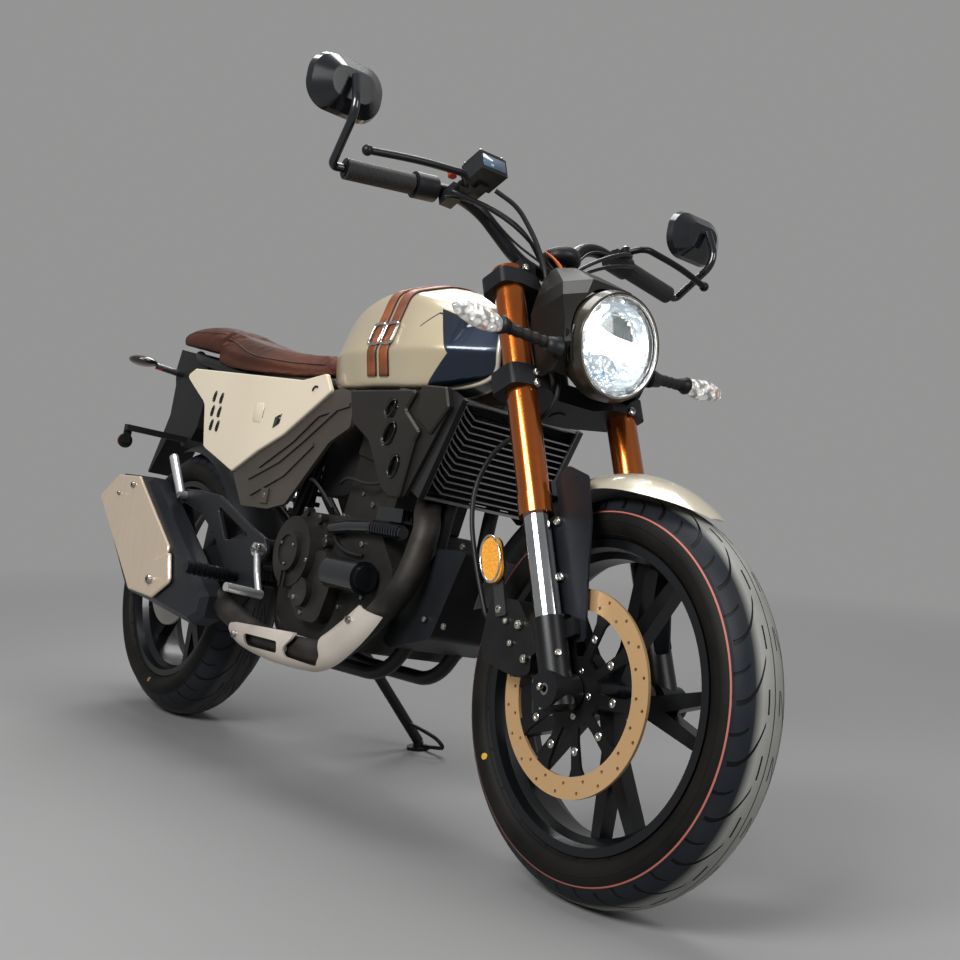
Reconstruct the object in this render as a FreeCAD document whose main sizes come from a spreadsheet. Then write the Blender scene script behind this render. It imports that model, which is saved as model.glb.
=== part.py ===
import FreeCAD, Part
import math
import os
import re
import types
import Sketcher
from FreeCAD import Placement, Rotation, Vector

# Cafe racer motorcycle, leaning on its side stand.
# Every piece is drawn as on the upright machine: X forward, Y to the left, Z up, with the
# rear axle above X = 0 and the ground at Z = 0. One placement then leans it on its stand.

DIMENSIONS = {
    # stance
    "wheelbase": 1410.0,
    "rake": 25.1,
    "trail": 98.0,
    "lean": 10.4,
    "origin_ahead": 697.0,
    "origin_left": 208.8,
    "fit_gap": 0.3,
    "steer_lock": 32.0,
    # wheels
    "front_tyre_r": 300.0,
    "front_tyre_w": 110.0,
    "rear_tyre_r": 307.0,
    "rear_tyre_w": 149.0,
    "front_wall": 72.0,
    "rear_wall": 81.5,
    "front_rim_half": 41.5,
    "rear_rim_half": 54.3,
    "flange_thick": 5.0,
    "spokes": 5,
    "spoke_thick": 26.0,
    "axle_r": 8.5,
    "disc_r": 150.0,
    "disc_band": 31.0,
    "disc_thick": 5.0,
    "disc_y": 77.0,
    "rear_disc_r": 110.0,
    "rear_disc_y": 62.0,
    # fork
    "leg_y": 109.0,
    "outer_tube_r": 25.0,
    "stanchion_r": 20.5,
    "outer_low": 268.0,
    "outer_top": 702.0,
    "chrome_low": 106.0,
    "low_clamp_s": 496.0,
    "low_clamp_thick": 36.0,
    "top_clamp_s": 677.0,
    "top_clamp_thick": 28.0,
    "stem_r": 14.0,
    "head_tube_r": 26.0,
    "bar_r": 11.0,
    "bar_end_y": 374.0,
    "bar_end_s": 846.0,
    "bar_end_d": -68.5,
    "lamp_s": 531.0,
    "lamp_d": 119.0,
    "lamp_r": 77.0,
    "lamp_tilt": -1.5,
    # drive
    "chain_pitch": 15.875,
    "rear_teeth": 36,
    "front_teeth": 14,
    "chain_links": 102,
    "chain_y": 89.0,
    "roller_r": 4.6,
    # frame and engine
    "frame_tube_r": 17.0,
    "rail_r": 13.0,
    "pivot_x": 490.0,
    "pivot_z": 408.0,
    "crank_half": 108.0,
    "clutch_r": 80.0,
    "header_r": 23.0,
    "panel_y": 132.0,
    "panel_thick": 8.0,
    "stand_y": 300.0,
    "shock_top_x": 430.0,
    "shock_top_z": 746.0,
    "shock_low_x": 408.0,
    "shock_low_z": 444.0,
    "spring_r": 31.0,
    # exhaust and plates
    "guard_r": 35.0,
    "guard_thick": 4.0,
    "muffler_in_y": 140.3,
    "muffler_out_y": 200.0,
    "hugger_gap": 18.0,
}

doc = FreeCAD.newDocument("cafe_racer")
sheet = doc.addObject("Spreadsheet::Sheet", "dims")
for row, (name, value) in enumerate(DIMENSIONS.items(), 1):
    sheet.set("A%d" % row, name)
    sheet.set("B%d" % row, str(value))
    sheet.setAlias("B%d" % row, name)
doc.recompute()
dim = types.SimpleNamespace(**{name: float(sheet.get(name)) for name in DIMENSIONS})

pieces = {}


def formula(text):
    """The expression with each sheet name written as dims.name."""
    return re.sub(r"[a-z_]+", lambda m: "dims." + m[0] if m[0] in DIMENSIONS else m[0], str(text))


def bind(item, prop, text):
    item.setExpression(prop, formula(text))


# Stance: fork axes, wheel places and the leaning placement

sin_rake = math.sin(math.radians(dim.rake))
cos_rake = math.cos(math.radians(dim.rake))
fork_offset = dim.front_tyre_r * sin_rake - dim.trail * cos_rake
CROWN_SHARE = 0.475


def tyre_drop(radius, width):
    """How far the lowest point of a tyre sinks below Z = 0 as it leans on its round crown."""
    return CROWN_SHARE * width * (math.cos(math.radians(dim.lean)) - 1)


rear_drop = tyre_drop(dim.rear_tyre_r, dim.rear_tyre_w)
front_drop = tyre_drop(dim.front_tyre_r, dim.front_tyre_w)
pitch = math.degrees(math.atan2(front_drop - rear_drop, dim.wheelbase))
BIKE = (Placement(Vector(-dim.origin_ahead, -dim.origin_left, -rear_drop), Rotation(Vector(0, 1, 0), pitch))
        * Placement(Vector(), Rotation(Vector(1, 0, 0), -dim.lean)))
FORK = BIKE * Placement(Vector(dim.wheelbase, 0, dim.front_tyre_r), Rotation(Vector(0, 1, 0), -dim.rake))
FRONT_WHEEL = BIKE * Placement(Vector(dim.wheelbase, 0, dim.front_tyre_r), Rotation())
REAR_WHEEL = BIKE * Placement(Vector(0, 0, dim.rear_tyre_r), Rotation())
LAMP = FORK * Placement(Vector(dim.lamp_d, 0, dim.lamp_s), Rotation(Vector(0, 1, 0),
                                                                    dim.rake - dim.lamp_tilt))


# Drawing helpers

def arc(start, middle, end):
    """Arc through three points, always drawn anticlockwise."""
    circle = Part.Arc(start, middle, end).toShape().Curve
    centre = circle.Center
    angles = [math.atan2(p.y - centre.y, p.x - centre.x) for p in (start, middle, end)]
    first = (angles[1] - angles[0]) % (2 * math.pi)
    whole = (angles[2] - angles[0]) % (2 * math.pi)
    if first > whole:
        angles.reverse()
        whole = 2 * math.pi - whole
    base = Part.Circle(centre, Vector(0, 0, 1), circle.Radius)
    return Part.ArcOfCircle(base, angles[0], angles[0] + whole)


def outline(corners, rounding=0.0):
    """Closed outline through corners (u, v) or (u, v, radius), each rounded, as lines and arcs."""
    bends = []
    for i, corner in enumerate(corners):
        here = Vector(corner[0], corner[1], 0)
        radius = corner[2] if len(corner) > 2 else rounding
        back = Vector(corners[i - 1][0], corners[i - 1][1], 0) - here
        ahead = Vector(corners[(i + 1) % len(corners)][0], corners[(i + 1) % len(corners)][1], 0) - here
        half = back.getAngle(ahead) / 2
        if radius <= 0 or half > 1.56:
            bends.append((here, here, here))
            continue
        reach = min(radius / math.tan(half), 0.48 * min(back.Length, ahead.Length))
        real = reach * math.tan(half)
        back.normalize()
        ahead.normalize()
        inward = (back + ahead).normalize()
        bends.append((here + back * reach, here + inward * (real / math.sin(half) - real),
                      here + ahead * reach))
    edges = []
    for i, (start, middle, end) in enumerate(bends):
        if start.distanceToPoint(end) > 1e-6:
            edges.append(arc(start, middle, end))
        following = bends[(i + 1) % len(bends)][0]
        if end.distanceToPoint(following) > 1e-6:
            edges.append(Part.LineSegment(end, following))
    return edges


def round_at(u, v, radius):
    """A circle for a sketch, its radius an expression."""
    return ("circle", u, v, radius)


def value_of(text):
    """The number that an expression of the sheet gives now."""
    probe = doc.getObject("probe") or doc.addObject("Part::Box", "probe")
    bind(probe, "Length", text)
    probe.recompute()
    return probe.Length.Value


def sketch(body, name, role, loops, offset="0"):
    """Sketch on one of the body's own origin planes, offset along the plane's normal."""
    item = body.newObject("Sketcher::SketchObject", name)
    plane = [feature for feature in body.Origin.OriginFeatures if feature.Role == role]
    item.AttachmentSupport = [(plane[0], "")]
    item.MapMode = "FlatFace"
    bind(item, "AttachmentOffset.Base.z", offset)
    for loop in loops:
        if loop[0] == "circle":
            _, u, v, radius = loop
            number = item.addGeometry(Part.Circle(Vector(u, v, 0), Vector(0, 0, 1), value_of(radius)))
            place = item.addConstraint(Sketcher.Constraint("Radius", number, value_of(radius)))
            bind(item, "Constraints[%d]" % place, radius)
        else:
            item.addGeometry(loop)
    return item


def new_body(name, place):
    body = doc.addObject("PartDesign::Body", name)
    body.Label = name
    body.AllowCompound = True
    pieces[name] = (body, place)
    return body


def pad(body, name, profile, length, backwards=False, both=False, taper=0.0):
    item = body.newObject("PartDesign::Pad", name)
    item.Profile = profile
    bind(item, "Length", length)
    item.Reversed = backwards
    item.SideType = "Symmetric" if both else "One side"
    item.TaperAngle = taper
    return item


def pocket(body, name, profile, length, backwards=False, both=False):
    item = body.newObject("PartDesign::Pocket", name)
    item.Profile = profile
    bind(item, "Length", length)
    item.Reversed = backwards
    item.SideType = "Symmetric" if both else "One side"
    return item


def turned(body, name, profile, axis):
    """Whole revolution of a sketch about its own H_Axis or V_Axis."""
    item = body.newObject("PartDesign::Revolution", name)
    item.Profile = profile
    item.ReferenceAxis = (profile, [axis])
    item.Angle = 360.0
    return item


def around(body, name, originals, count):
    """Polar pattern about the body's Y axis."""
    item = body.newObject("PartDesign::PolarPattern", name)
    item.Originals = originals
    axis = [feature for feature in body.Origin.OriginFeatures if feature.Role == "Y_Axis"]
    item.Axis = (axis[0], [""])
    item.Angle = 360.0
    bind(item, "Occurrences", count)
    body.Tip = item
    return item


def mirrored(body, name, originals):
    """The same features on the other side of the machine."""
    item = body.newObject("PartDesign::Mirrored", name)
    item.Originals = originals
    plane = [feature for feature in body.Origin.OriginFeatures if feature.Role == "XZ_Plane"]
    item.MirrorPlane = (plane[0], [""])
    body.Tip = item
    return item


def feature(name, place, shape):
    """A piece whose shape is worked out in code."""
    item = doc.addObject("Part::Feature", name)
    item.Label = name
    item.Shape = shape
    pieces[name] = (item, place)
    return item


def path(points, bend=0.0):
    """Straight runs joined by tangent arcs through a list of points."""
    points = [Vector(*p) for p in points]
    edges = []
    start = points[0]
    for i in range(1, len(points) - 1):
        back = points[i - 1] - points[i]
        ahead = points[i + 1] - points[i]
        half = back.getAngle(ahead) / 2
        reach = min(bend / math.tan(half) if bend else 1e9, 0.45 * min(back.Length, ahead.Length))
        real = reach * math.tan(half)
        back.normalize()
        ahead.normalize()
        inward = (back + ahead).normalize()
        first = points[i] + back * reach
        last = points[i] + ahead * reach
        middle = points[i] + inward * (real / math.sin(half) - real)
        edges.append(Part.LineSegment(start, first).toShape())
        edges.append(Part.Arc(first, middle, last).toShape())
        start = last
    edges.append(Part.LineSegment(start, points[-1]).toShape())
    return Part.Wire(edges)


def tube(points, radius, bend=0.0, bore=0.0):
    """Round bar or tube along runs and arcs."""
    spine = path(points, bend)
    direction = Vector(*points[1]) - Vector(*points[0])
    ring = Part.Wire([Part.Circle(Vector(*points[0]), direction, radius).toShape()])
    solid = spine.makePipeShell([ring], True, False)
    if bore:
        inner = Part.Wire([Part.Circle(Vector(*points[0]), direction, bore).toShape()])
        solid = solid.cut(spine.makePipeShell([inner], True, False))
    return solid


def cylinder(start, end, radius):
    start, end = Vector(*start), Vector(*end)
    return Part.makeCylinder(radius, start.distanceToPoint(end), start, end - start)


def plate(corners, inner_y, outer_y, rounding=0.0, holes=()):
    """Flat plate between two Y values, its outline and holes drawn in X and Z."""
    def face(points, fillet):
        edges = [edge.toShape() for edge in outline(points, fillet)]
        wire = Part.Wire(Part.__sortEdges__(edges))
        return Part.Face(wire)
    flat = face(corners, rounding)
    for hole, fillet in holes:
        flat = flat.cut(face(hole, fillet))
    flat.rotate(Vector(), Vector(1, 0, 0), 90)
    flat.translate(Vector(0, inner_y, 0))
    return flat.extrude(Vector(0, outer_y - inner_y, 0))


def flip(shape):
    """The mirror image on the other side of the machine."""
    return shape.mirror(Vector(), Vector(0, 1, 0))


def both_sides(shape):
    return Part.makeCompound([shape, flip(shape)])


def bevelled(solid, side_y, size):
    """Cut back the whole edge of the flat face that lies at this Y."""
    rim = [edge for edge in solid.Edges
           if abs(edge.BoundBox.YMin - side_y) < 0.01 and abs(edge.BoundBox.YMax - side_y) < 0.01]
    return solid.makeChamfer(size, rim)


def inset(corners, distance):
    """The same corners, each side moved inwards by a distance."""
    moved = []
    area = sum(a[0] * b[1] - b[0] * a[1] for a, b in zip(corners, corners[1:] + corners[:1]))
    turn = 1 if area > 0 else -1
    for i, corner in enumerate(corners):
        here = Vector(*corner, 0)
        back = (here - Vector(*corners[i - 1], 0)).normalize()
        ahead = (Vector(*corners[(i + 1) % len(corners)], 0) - here).normalize()
        normal = Vector(-back.y - ahead.y, back.x + ahead.x, 0).normalize() * turn
        lean_in = max(0.3, normal.dot(Vector(-ahead.y, ahead.x, 0) * turn))
        moved.append(here + normal * (distance / lean_in))
    return [(p.x, p.y) for p in moved]


def faceted(corners, levels):
    """Solid with flat facets: the outline at each Y, set in by a distance."""
    wires = []
    for y, distance in levels:
        line = [Vector(x, y, z) for x, z in inset(corners, distance)]
        wires.append(Part.makePolygon(line + line[:1]))
    return lofted(wires, ruled=True)


def one_solid(shapes):
    whole = shapes[0].multiFuse(shapes[1:]) if len(shapes) > 1 else shapes[0]
    return whole.removeSplitter()


def section(position, corners, rounding):
    """Closed wire in the YZ plane at X = position."""
    edges = [edge.toShape() for edge in outline(corners, rounding)]
    wire = Part.Wire(Part.__sortEdges__(edges))
    wire.rotate(Vector(), Vector(1, 0, 0), 90)
    wire.rotate(Vector(), Vector(0, 0, 1), 90)
    wire.translate(Vector(position, 0, 0))
    return wire


def lofted(sections, ruled=False):
    return Part.makeLoft(sections, True, ruled)


# Wheels: cast rims, tyres and brake discs, each turned about its own axle

def make_tyre(name, place, radius, width, rim_half, flange):
    crown = CROWN_SHARE * width
    centre = radius - crown
    edge = math.radians(62)
    top = (centre + crown * math.cos(edge), crown * math.sin(edge))
    wide = (flange + 0.34 * (radius - flange), width / 2)
    foot = (flange + 1.5, rim_half + 2.5)
    bead = rim_half - dim.fit_gap
    seat = flange - 7.0
    body = new_body(name, place)
    loop = [arc(Vector(top[0], -top[1], 0), Vector(radius, 0, 0), Vector(top[0], top[1], 0)),
            arc(Vector(*top, 0), Vector(*wide, 0), Vector(*foot, 0))]
    low = [(foot[0], foot[1]), (foot[0], bead), (seat, bead), (seat, -bead), (foot[0], -bead),
           (foot[0], -foot[1])]
    for start, end in zip(low, low[1:]):
        loop.append(Part.LineSegment(Vector(*start, 0), Vector(*end, 0)))
    loop.append(arc(Vector(foot[0], -foot[1], 0), Vector(wide[0], -wide[1], 0), Vector(top[0], -top[1], 0)))
    profile = sketch(body, name + "_section", "XY_Plane", [loop])
    turned(body, name + "_ring", profile, "V_Axis")


def make_rim(name, place, flange, half, hub_in, hub_out, hub_r):
    body = new_body(name, place)
    lip = half + dim.flange_thick
    seat = flange - 7.0 - dim.fit_gap
    barrel = outline([(flange, lip), (flange, half), (seat, half), (seat - 2, half - 12),
                      (seat - 13, half - 20),
                      (seat - 13, 20 - half), (seat - 2, 12 - half), (seat, -half), (flange, -half),
                      (flange, -lip), (flange - 13, -lip), (flange - 17, 10 - half), (seat - 19, 22 - half),
                      (seat - 19, half - 22), (flange - 17, half - 10), (flange - 13, lip)])
    hub = outline([(dim.axle_r + dim.fit_gap, -hub_out), (hub_r + 8, -hub_out), (hub_r + 8, 10 - hub_out),
                   (hub_r, 18 - hub_out), (hub_r, hub_in), (dim.axle_r + dim.fit_gap, hub_in)])
    turned(body, name + "_barrel", sketch(body, name + "_barrel_section", "XY_Plane", [barrel]), "V_Axis")
    turned(body, name + "_hub", sketch(body, name + "_hub_section", "XY_Plane", [hub]), "V_Axis")
    reach = seat - 16
    fork_at = 0.42 * reach
    arm = outline([(hub_r - 4, -15), (fork_at - 12, -13), (reach, -46), (reach, -28), (fork_at + 34, 0),
                   (reach, 28), (reach, 46), (fork_at - 12, 13), (hub_r - 4, 15)])
    spoke = pad(body, name + "_spoke", sketch(body, name + "_spoke_outline", "XZ_Plane", [arm]),
                "spoke_thick", both=True)
    around(body, name + "_spokes", [spoke], "spokes")


def make_disc(name, place, radius, band, centre_y, thick):
    body = new_body(name, place)
    ring = [round_at(0, 0, radius), round_at(0, 0, "%s - %s" % (radius, band))]
    for k in range(20):
        for turn, depth in ((0.0, 8.0), (0.35, 22.0)):
            angle = 2 * math.pi * (k + turn) / 20
            reach = value_of(radius) - depth
            ring.append(round_at(reach * math.cos(angle), reach * math.sin(angle), "2.6"))
    profile = sketch(body, name + "_face", "XZ_Plane", ring, "%s - %s / 2" % (centre_y, thick))
    pad(body, name + "_ring", profile, thick)


front_flange = dim.front_tyre_r - dim.front_wall
rear_flange = dim.rear_tyre_r - dim.rear_wall
make_tyre("front_tyre", FRONT_WHEEL, dim.front_tyre_r, dim.front_tyre_w, dim.front_rim_half, front_flange)
make_rim("front_rim", FRONT_WHEEL, front_flange, dim.front_rim_half, 62, 72, 30)
make_disc("front_disc", FRONT_WHEEL, "disc_r", "disc_band", "disc_y", "disc_thick")

carrier = new_body("front_disc_carrier", FRONT_WHEEL)
inner_edge = dim.disc_r - dim.disc_band - dim.fit_gap
ring = [round_at(0, 0, "52"), round_at(0, 0, "axle_r + 12")]
pad(carrier, "carrier_ring", sketch(carrier, "carrier_face", "XZ_Plane", ring, "72 + fit_gap"),
    "disc_y + disc_thick / 2 - 72 - fit_gap")
arm_end = math.sqrt(inner_edge ** 2 - 14 ** 2)
finger = outline([(40, -9), (70, -7), (inner_edge - 12, -9), (arm_end, -14), (arm_end, 14),
                  (inner_edge - 12, 9), (70, 7), (40, 9)])
finger_pad = pad(carrier, "carrier_arm", sketch(carrier, "carrier_arm_outline", "XZ_Plane", [finger],
                                                "disc_y - disc_thick / 2"), "disc_thick")
around(carrier, "carrier_arms", [finger_pad], "10")

make_tyre("rear_tyre", REAR_WHEEL, dim.rear_tyre_r, dim.rear_tyre_w, dim.rear_rim_half, rear_flange)
make_rim("rear_rim", REAR_WHEEL, rear_flange, dim.rear_rim_half, dim.chain_y - 3 - dim.fit_gap,
         dim.rear_disc_y - dim.fit_gap, 34)
rear_disc = new_body("rear_disc", REAR_WHEEL)
face = [round_at(0, 0, "rear_disc_r"), round_at(0, 0, "axle_r + 10")]
pad(rear_disc, "rear_disc_plate", sketch(rear_disc, "rear_disc_face", "XZ_Plane", face, "rear_disc_y"), "5")

# Final drive: sprockets and one closed chain

rear_pitch_r = dim.chain_pitch / 2 / math.sin(math.pi / dim.rear_teeth)
front_pitch_r = dim.chain_pitch / 2 / math.sin(math.pi / dim.front_teeth)


def chain_centres():
    """Distance between the sprockets at which the chain closes on whole links."""
    low, high = 300.0, 1200.0
    for _ in range(60):
        middle = (low + high) / 2
        lift = math.asin((rear_pitch_r - front_pitch_r) / middle)
        loop = (2 * middle * math.cos(lift) + rear_pitch_r * (math.pi + 2 * lift)
                + front_pitch_r * (math.pi - 2 * lift))
        if loop > dim.chain_links * dim.chain_pitch:
            high = middle
        else:
            low = middle
    return middle, lift


drive_length, wrap_lift = chain_centres()
drive_rise = math.atan2(dim.pivot_z - dim.rear_tyre_r, dim.pivot_x)
DRIVE = REAR_WHEEL * Placement(Vector(), Rotation(Vector(0, 1, 0), -math.degrees(drive_rise)))


def chain_point(run, offset=0.0):
    """Point at a distance along the pitch line, from the top of the rear sprocket forward."""
    straight = drive_length * math.cos(wrap_lift)
    front_wrap = front_pitch_r * (math.pi - 2 * wrap_lift)
    rear_wrap = rear_pitch_r * (math.pi + 2 * wrap_lift)
    run = run % (2 * straight + front_wrap + rear_wrap)
    top = math.pi / 2 - wrap_lift
    if run < straight:
        start = Vector(rear_pitch_r * math.cos(top), rear_pitch_r * math.sin(top), 0)
        along = Vector(math.cos(top - math.pi / 2), math.sin(top - math.pi / 2), 0)
        return start + along * run + Vector(math.cos(top), math.sin(top), 0) * offset
    run -= straight
    if run < front_wrap:
        angle = top - run / front_pitch_r
        out = Vector(math.cos(angle), math.sin(angle), 0)
        return Vector(drive_length, 0, 0) + out * (front_pitch_r + offset)
    run -= front_wrap
    if run < straight:
        start = Vector(drive_length + front_pitch_r * math.cos(top), -front_pitch_r * math.sin(top), 0)
        along = Vector(-math.cos(wrap_lift), -math.sin(wrap_lift), 0)
        return start + along * run + Vector(math.cos(-top), math.sin(-top), 0) * offset
    run -= straight
    angle = -top - run / rear_pitch_r
    return Vector(math.cos(angle), math.sin(angle), 0) * (rear_pitch_r + offset)


def toothed(teeth, pitch_r, turn):
    """Sprocket outline: a notch for each roller and a blunt tooth between."""
    corners = []
    step = 2 * math.pi / teeth
    notch = dim.roller_r + 0.9
    for k in range(int(teeth)):
        gap = turn + k * step
        for side, r in ((-0.42, pitch_r + 1.5), (-0.20, pitch_r - notch), (0.20, pitch_r - notch),
                        (0.42, pitch_r + 1.5)):
            corners.append((r * math.cos(gap + side * step), r * math.sin(gap + side * step)))
    return corners


sprocket = new_body("rear_sprocket", DRIVE)
first_roller = math.pi / 2 - wrap_lift
teeth_loop = outline(toothed(dim.rear_teeth, rear_pitch_r, first_roller))
pad(sprocket, "sprocket_plate", sketch(sprocket, "sprocket_outline", "XZ_Plane",
    [teeth_loop, round_at(0, 0, "axle_r + 20")], "-chain_y"), "6", both=True)

chain_body = new_body("chain", DRIVE)
outer_line = []
inner_line = []
for link in range(int(dim.chain_links)):
    for share in (0.0, 0.5):
        width = 6.5 if share == 0.0 else 4.6
        spot = (link + share) * dim.chain_pitch
        outer_line.append(chain_point(spot, width))
        inner_line.append(chain_point(spot, -width))
band = []
for line in (outer_line, inner_line):
    band.append([Part.LineSegment(a, b) for a, b in zip(line, line[1:] + line[:1])])
pad(chain_body, "chain_plates", sketch(chain_body, "chain_outline", "XZ_Plane", band, "-chain_y - 7"),
    "2.8")
pad(chain_body, "chain_plates_inner", sketch(chain_body, "chain_outline_inner", "XZ_Plane", band,
                                             "-chain_y + 4.2"), "2.8")
rollers = []
for link in range(int(dim.chain_links)):
    centre = chain_point(link * dim.chain_pitch)
    hexagon = [(centre.x + dim.roller_r * math.cos(math.pi / 3 * k),
                centre.y + dim.roller_r * math.sin(math.pi / 3 * k)) for k in range(6)]
    rollers.append(outline(hexagon))
pad(chain_body, "chain_rollers", sketch(chain_body, "chain_roller_ends", "XZ_Plane", rollers,
                                        "-chain_y - 5"), "10")

gearbox_out = Vector(drive_length * math.cos(drive_rise), 0,
                     dim.rear_tyre_r + drive_length * math.sin(drive_rise))

# Front fork: clamps, legs, axle, fender, lamp, bars and all that turns with them

clamps = new_body("steering_clamps", FORK)
stem_d = -fork_offset
side_y = dim.leg_y
for label, centre, thick, nose in (("low", "low_clamp_s", "low_clamp_thick", 36),
                                   ("top", "top_clamp_s", "top_clamp_thick", 33)):
    yoke = outline([(24, -side_y - nose), (-32, -side_y - nose), (stem_d - 26, -42), (stem_d - 30, 0),
                    (stem_d - 26, 42), (-32, side_y + nose), (24, side_y + nose), (30, side_y),
                    (26, side_y - 40), (6, 40), (6, -40), (26, 40 - side_y), (30, -side_y)], 14)
    loops = [yoke]
    for sign in (-1, 1):
        loops.append(round_at(0, sign * side_y, "outer_tube_r + fit_gap / 2"))
    pad(clamps, label + "_yoke", sketch(clamps, label + "_yoke_outline", "XY_Plane", loops,
                                        "%s - %s / 2" % (centre, thick)), thick)
pad(clamps, "stem", sketch(clamps, "stem_circle", "XY_Plane", [round_at(stem_d, 0, "stem_r")],
                           "low_clamp_s - 20"), "top_clamp_s - low_clamp_s + 44")

outers = new_body("fork_outer_tubes", FORK)
leg = pad(outers, "leg_tube", sketch(outers, "leg_circles", "XY_Plane",
          [round_at(0, -dim.leg_y, "outer_tube_r"), round_at(0, -dim.leg_y, "stanchion_r + fit_gap")],
          "outer_low + 33"), "outer_top - outer_low - 33")
collar = pad(outers, "leg_collar", sketch(outers, "collar_circles", "XY_Plane",
             [round_at(0, -dim.leg_y, "outer_tube_r + 1.8"),
              round_at(0, -dim.leg_y, "stanchion_r + fit_gap")],
             "outer_low"), "33")
mirrored(outers, "other_leg", [leg, collar])

stanchions = new_body("fork_stanchions", FORK)
chrome = pad(stanchions, "stanchion", sketch(stanchions, "stanchion_circle", "XY_Plane",
             [round_at(0, -dim.leg_y, "stanchion_r")], "50"), "outer_low + 110")
mirrored(stanchions, "other_stanchion", [chrome])

bottoms = new_body("fork_bottoms", FORK)
both_legs = (-dim.leg_y, dim.leg_y)
pad(bottoms, "leg_bottoms", sketch(bottoms, "leg_bottom_circles", "XY_Plane",
    [round_at(0, y, "stanchion_r + 3.5") for y in both_legs], "-26"), "chrome_low + 26")
guard_lug = outline([(16, 72), (41, 72), (41, 98), (16, 98)], 3)
for side, boss_from, lug_from in (("right", "leg_y - stanchion_r - 5",
                                   "disc_y + disc_thick / 2 + 8.6 + fit_gap"),
                                  ("left", "-leg_y - stanchion_r - 5",
                                   "-disc_y - disc_thick / 2 - 20.6 - fit_gap")):
    pad(bottoms, side + "_axle_boss", sketch(bottoms, side + "_boss_circle", "XZ_Plane",
                                             [round_at(0, 0, "27")],
                                             boss_from), "2 * stanchion_r + 10")
    pad(bottoms, side + "_guard_lug", sketch(bottoms, side + "_lug_outline", "XZ_Plane", [guard_lug],
                                             lug_from), "12")
pocket(bottoms, "stanchion_sockets", sketch(bottoms, "socket_circles", "XY_Plane",
       [round_at(0, y, "stanchion_r + fit_gap / 2") for y in both_legs], "50 - fit_gap"),
       "chrome_low", backwards=True)
pocket(bottoms, "axle_bore", sketch(bottoms, "axle_bore_circle", "XZ_Plane",
       [round_at(0, 0, "axle_r + fit_gap / 2")]), "2 * leg_y + 120", both=True)

axle = new_body("front_axle", FORK)
pad(axle, "axle_bar", sketch(axle, "axle_circles", "XZ_Plane",
                             [round_at(0, 0, "axle_r"), round_at(0, 0, "5")]),
    "2 * leg_y + 50", both=True)


# Front fender: a thin crowned arch, wider than the tyre, drawn out to a beak in front

def arch_section(angle, radius, half, drop, thick):
    """Crescent across the tyre, at an angle ahead of straight up from the axle."""
    inner_half = half - thick
    outer = Part.Arc(Vector(-half, 0, radius - drop), Vector(0, 0, radius), Vector(half, 0, radius - drop))
    inner = Part.Arc(Vector(inner_half, 0, radius - drop), Vector(0, 0, radius - thick),
                     Vector(-inner_half, 0, radius - drop))
    edges = [outer.toShape(), Part.LineSegment(Vector(half, 0, radius - drop),
                                               Vector(inner_half, 0, radius - drop)).toShape(),
             inner.toShape(), Part.LineSegment(Vector(-inner_half, 0, radius - drop),
                                               Vector(-half, 0, radius - drop)).toShape()]
    wire = Part.Wire(edges)
    wire.rotate(Vector(), Vector(0, 0, 1), 90)
    wire.rotate(Vector(), Vector(0, 1, 0), angle)
    return wire


def arch(stations, thick):
    return lofted([arch_section(angle, dim.front_tyre_r + gap, half, drop, thick)
                   for angle, gap, half, drop in stations])


lug = Part.makeBox(28, 19.7, 22, Vector(-14, dim.leg_y - dim.outer_tube_r - 20, dim.front_tyre_r + 2))
lug.rotate(Vector(), Vector(0, 1, 0), -dim.rake)
rear_arch = arch([(-74, 24, 58, 22), (-50, 30, 66, 30), (-28, 34, 68, 34), (-13.5, 35, 69, 36)], 3)
feature("front_fender", FRONT_WHEEL, one_solid([rear_arch, lug, flip(lug)]))
feature("fender_cap", FRONT_WHEEL, arch([(-13.45, 35, 69, 36), (2, 31, 66, 32), (14, 24, 56, 22),
                                         (22, 18, 38, 10), (28, 14, 14, 2)], 3))

guards = new_body("fork_guards", FORK)
guard_loop = outline([(29, 322, 8), (60, 332, 12), (98, 300, 10), (92, 230, 8), (74, 170, 8), (47, 62, 5),
                      (26, 66, 5), (25, 108, 3), (6, 116, 3), (6, 256, 3), (29, 262, 3)])
guard = pad(guards, "guard_plate", sketch(guards, "guard_outline", "XZ_Plane", [guard_loop],
                                          "disc_y + disc_thick / 2 + 5.2"), "3.4")
mirrored(guards, "other_guard", [guard])

# Front brake caliper, straddling the disc behind the right leg

caliper = new_body("front_caliper", FORK)
block = outline([(-112, 178, 10), (-52, 150, 8), (-38, 112, 4), (-24.3, 108, 2), (-24.3, 64, 2),
                 (-40, 60, 4),
                 (-46, 36, 10), (-80, 40, 12), (-148, 84, 14), (-150, 112, 14)])
pad(caliper, "caliper_block", sketch(caliper, "caliper_outline", "XZ_Plane", [block], "54"), "62")
pocket(caliper, "disc_slot", sketch(caliper, "slot_circle", "XZ_Plane", [round_at(0, 0, "disc_r + 6")],
                                    "disc_y"),
       "disc_thick + 11", both=True)
leg_room = outline([(-30, 50), (10, 50), (10, 130), (-30, 130)])
pocket(caliper, "leg_clearance", sketch(caliper, "leg_clearance_outline", "XZ_Plane", [leg_room], "40"),
       "leg_y - 40 - 6", backwards=True)

reflector_face = plate([(-112, 190), (-68, 190), (-68, 262), (-112, 262)], -129, -120, 20)
reflector_foot = plate([(-104, 140), (-80, 136), (-78, 224), (-100, 226)], -120, -116.3, 3)
feature("front_reflector", FORK, one_solid([reflector_face, reflector_foot]))

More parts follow.
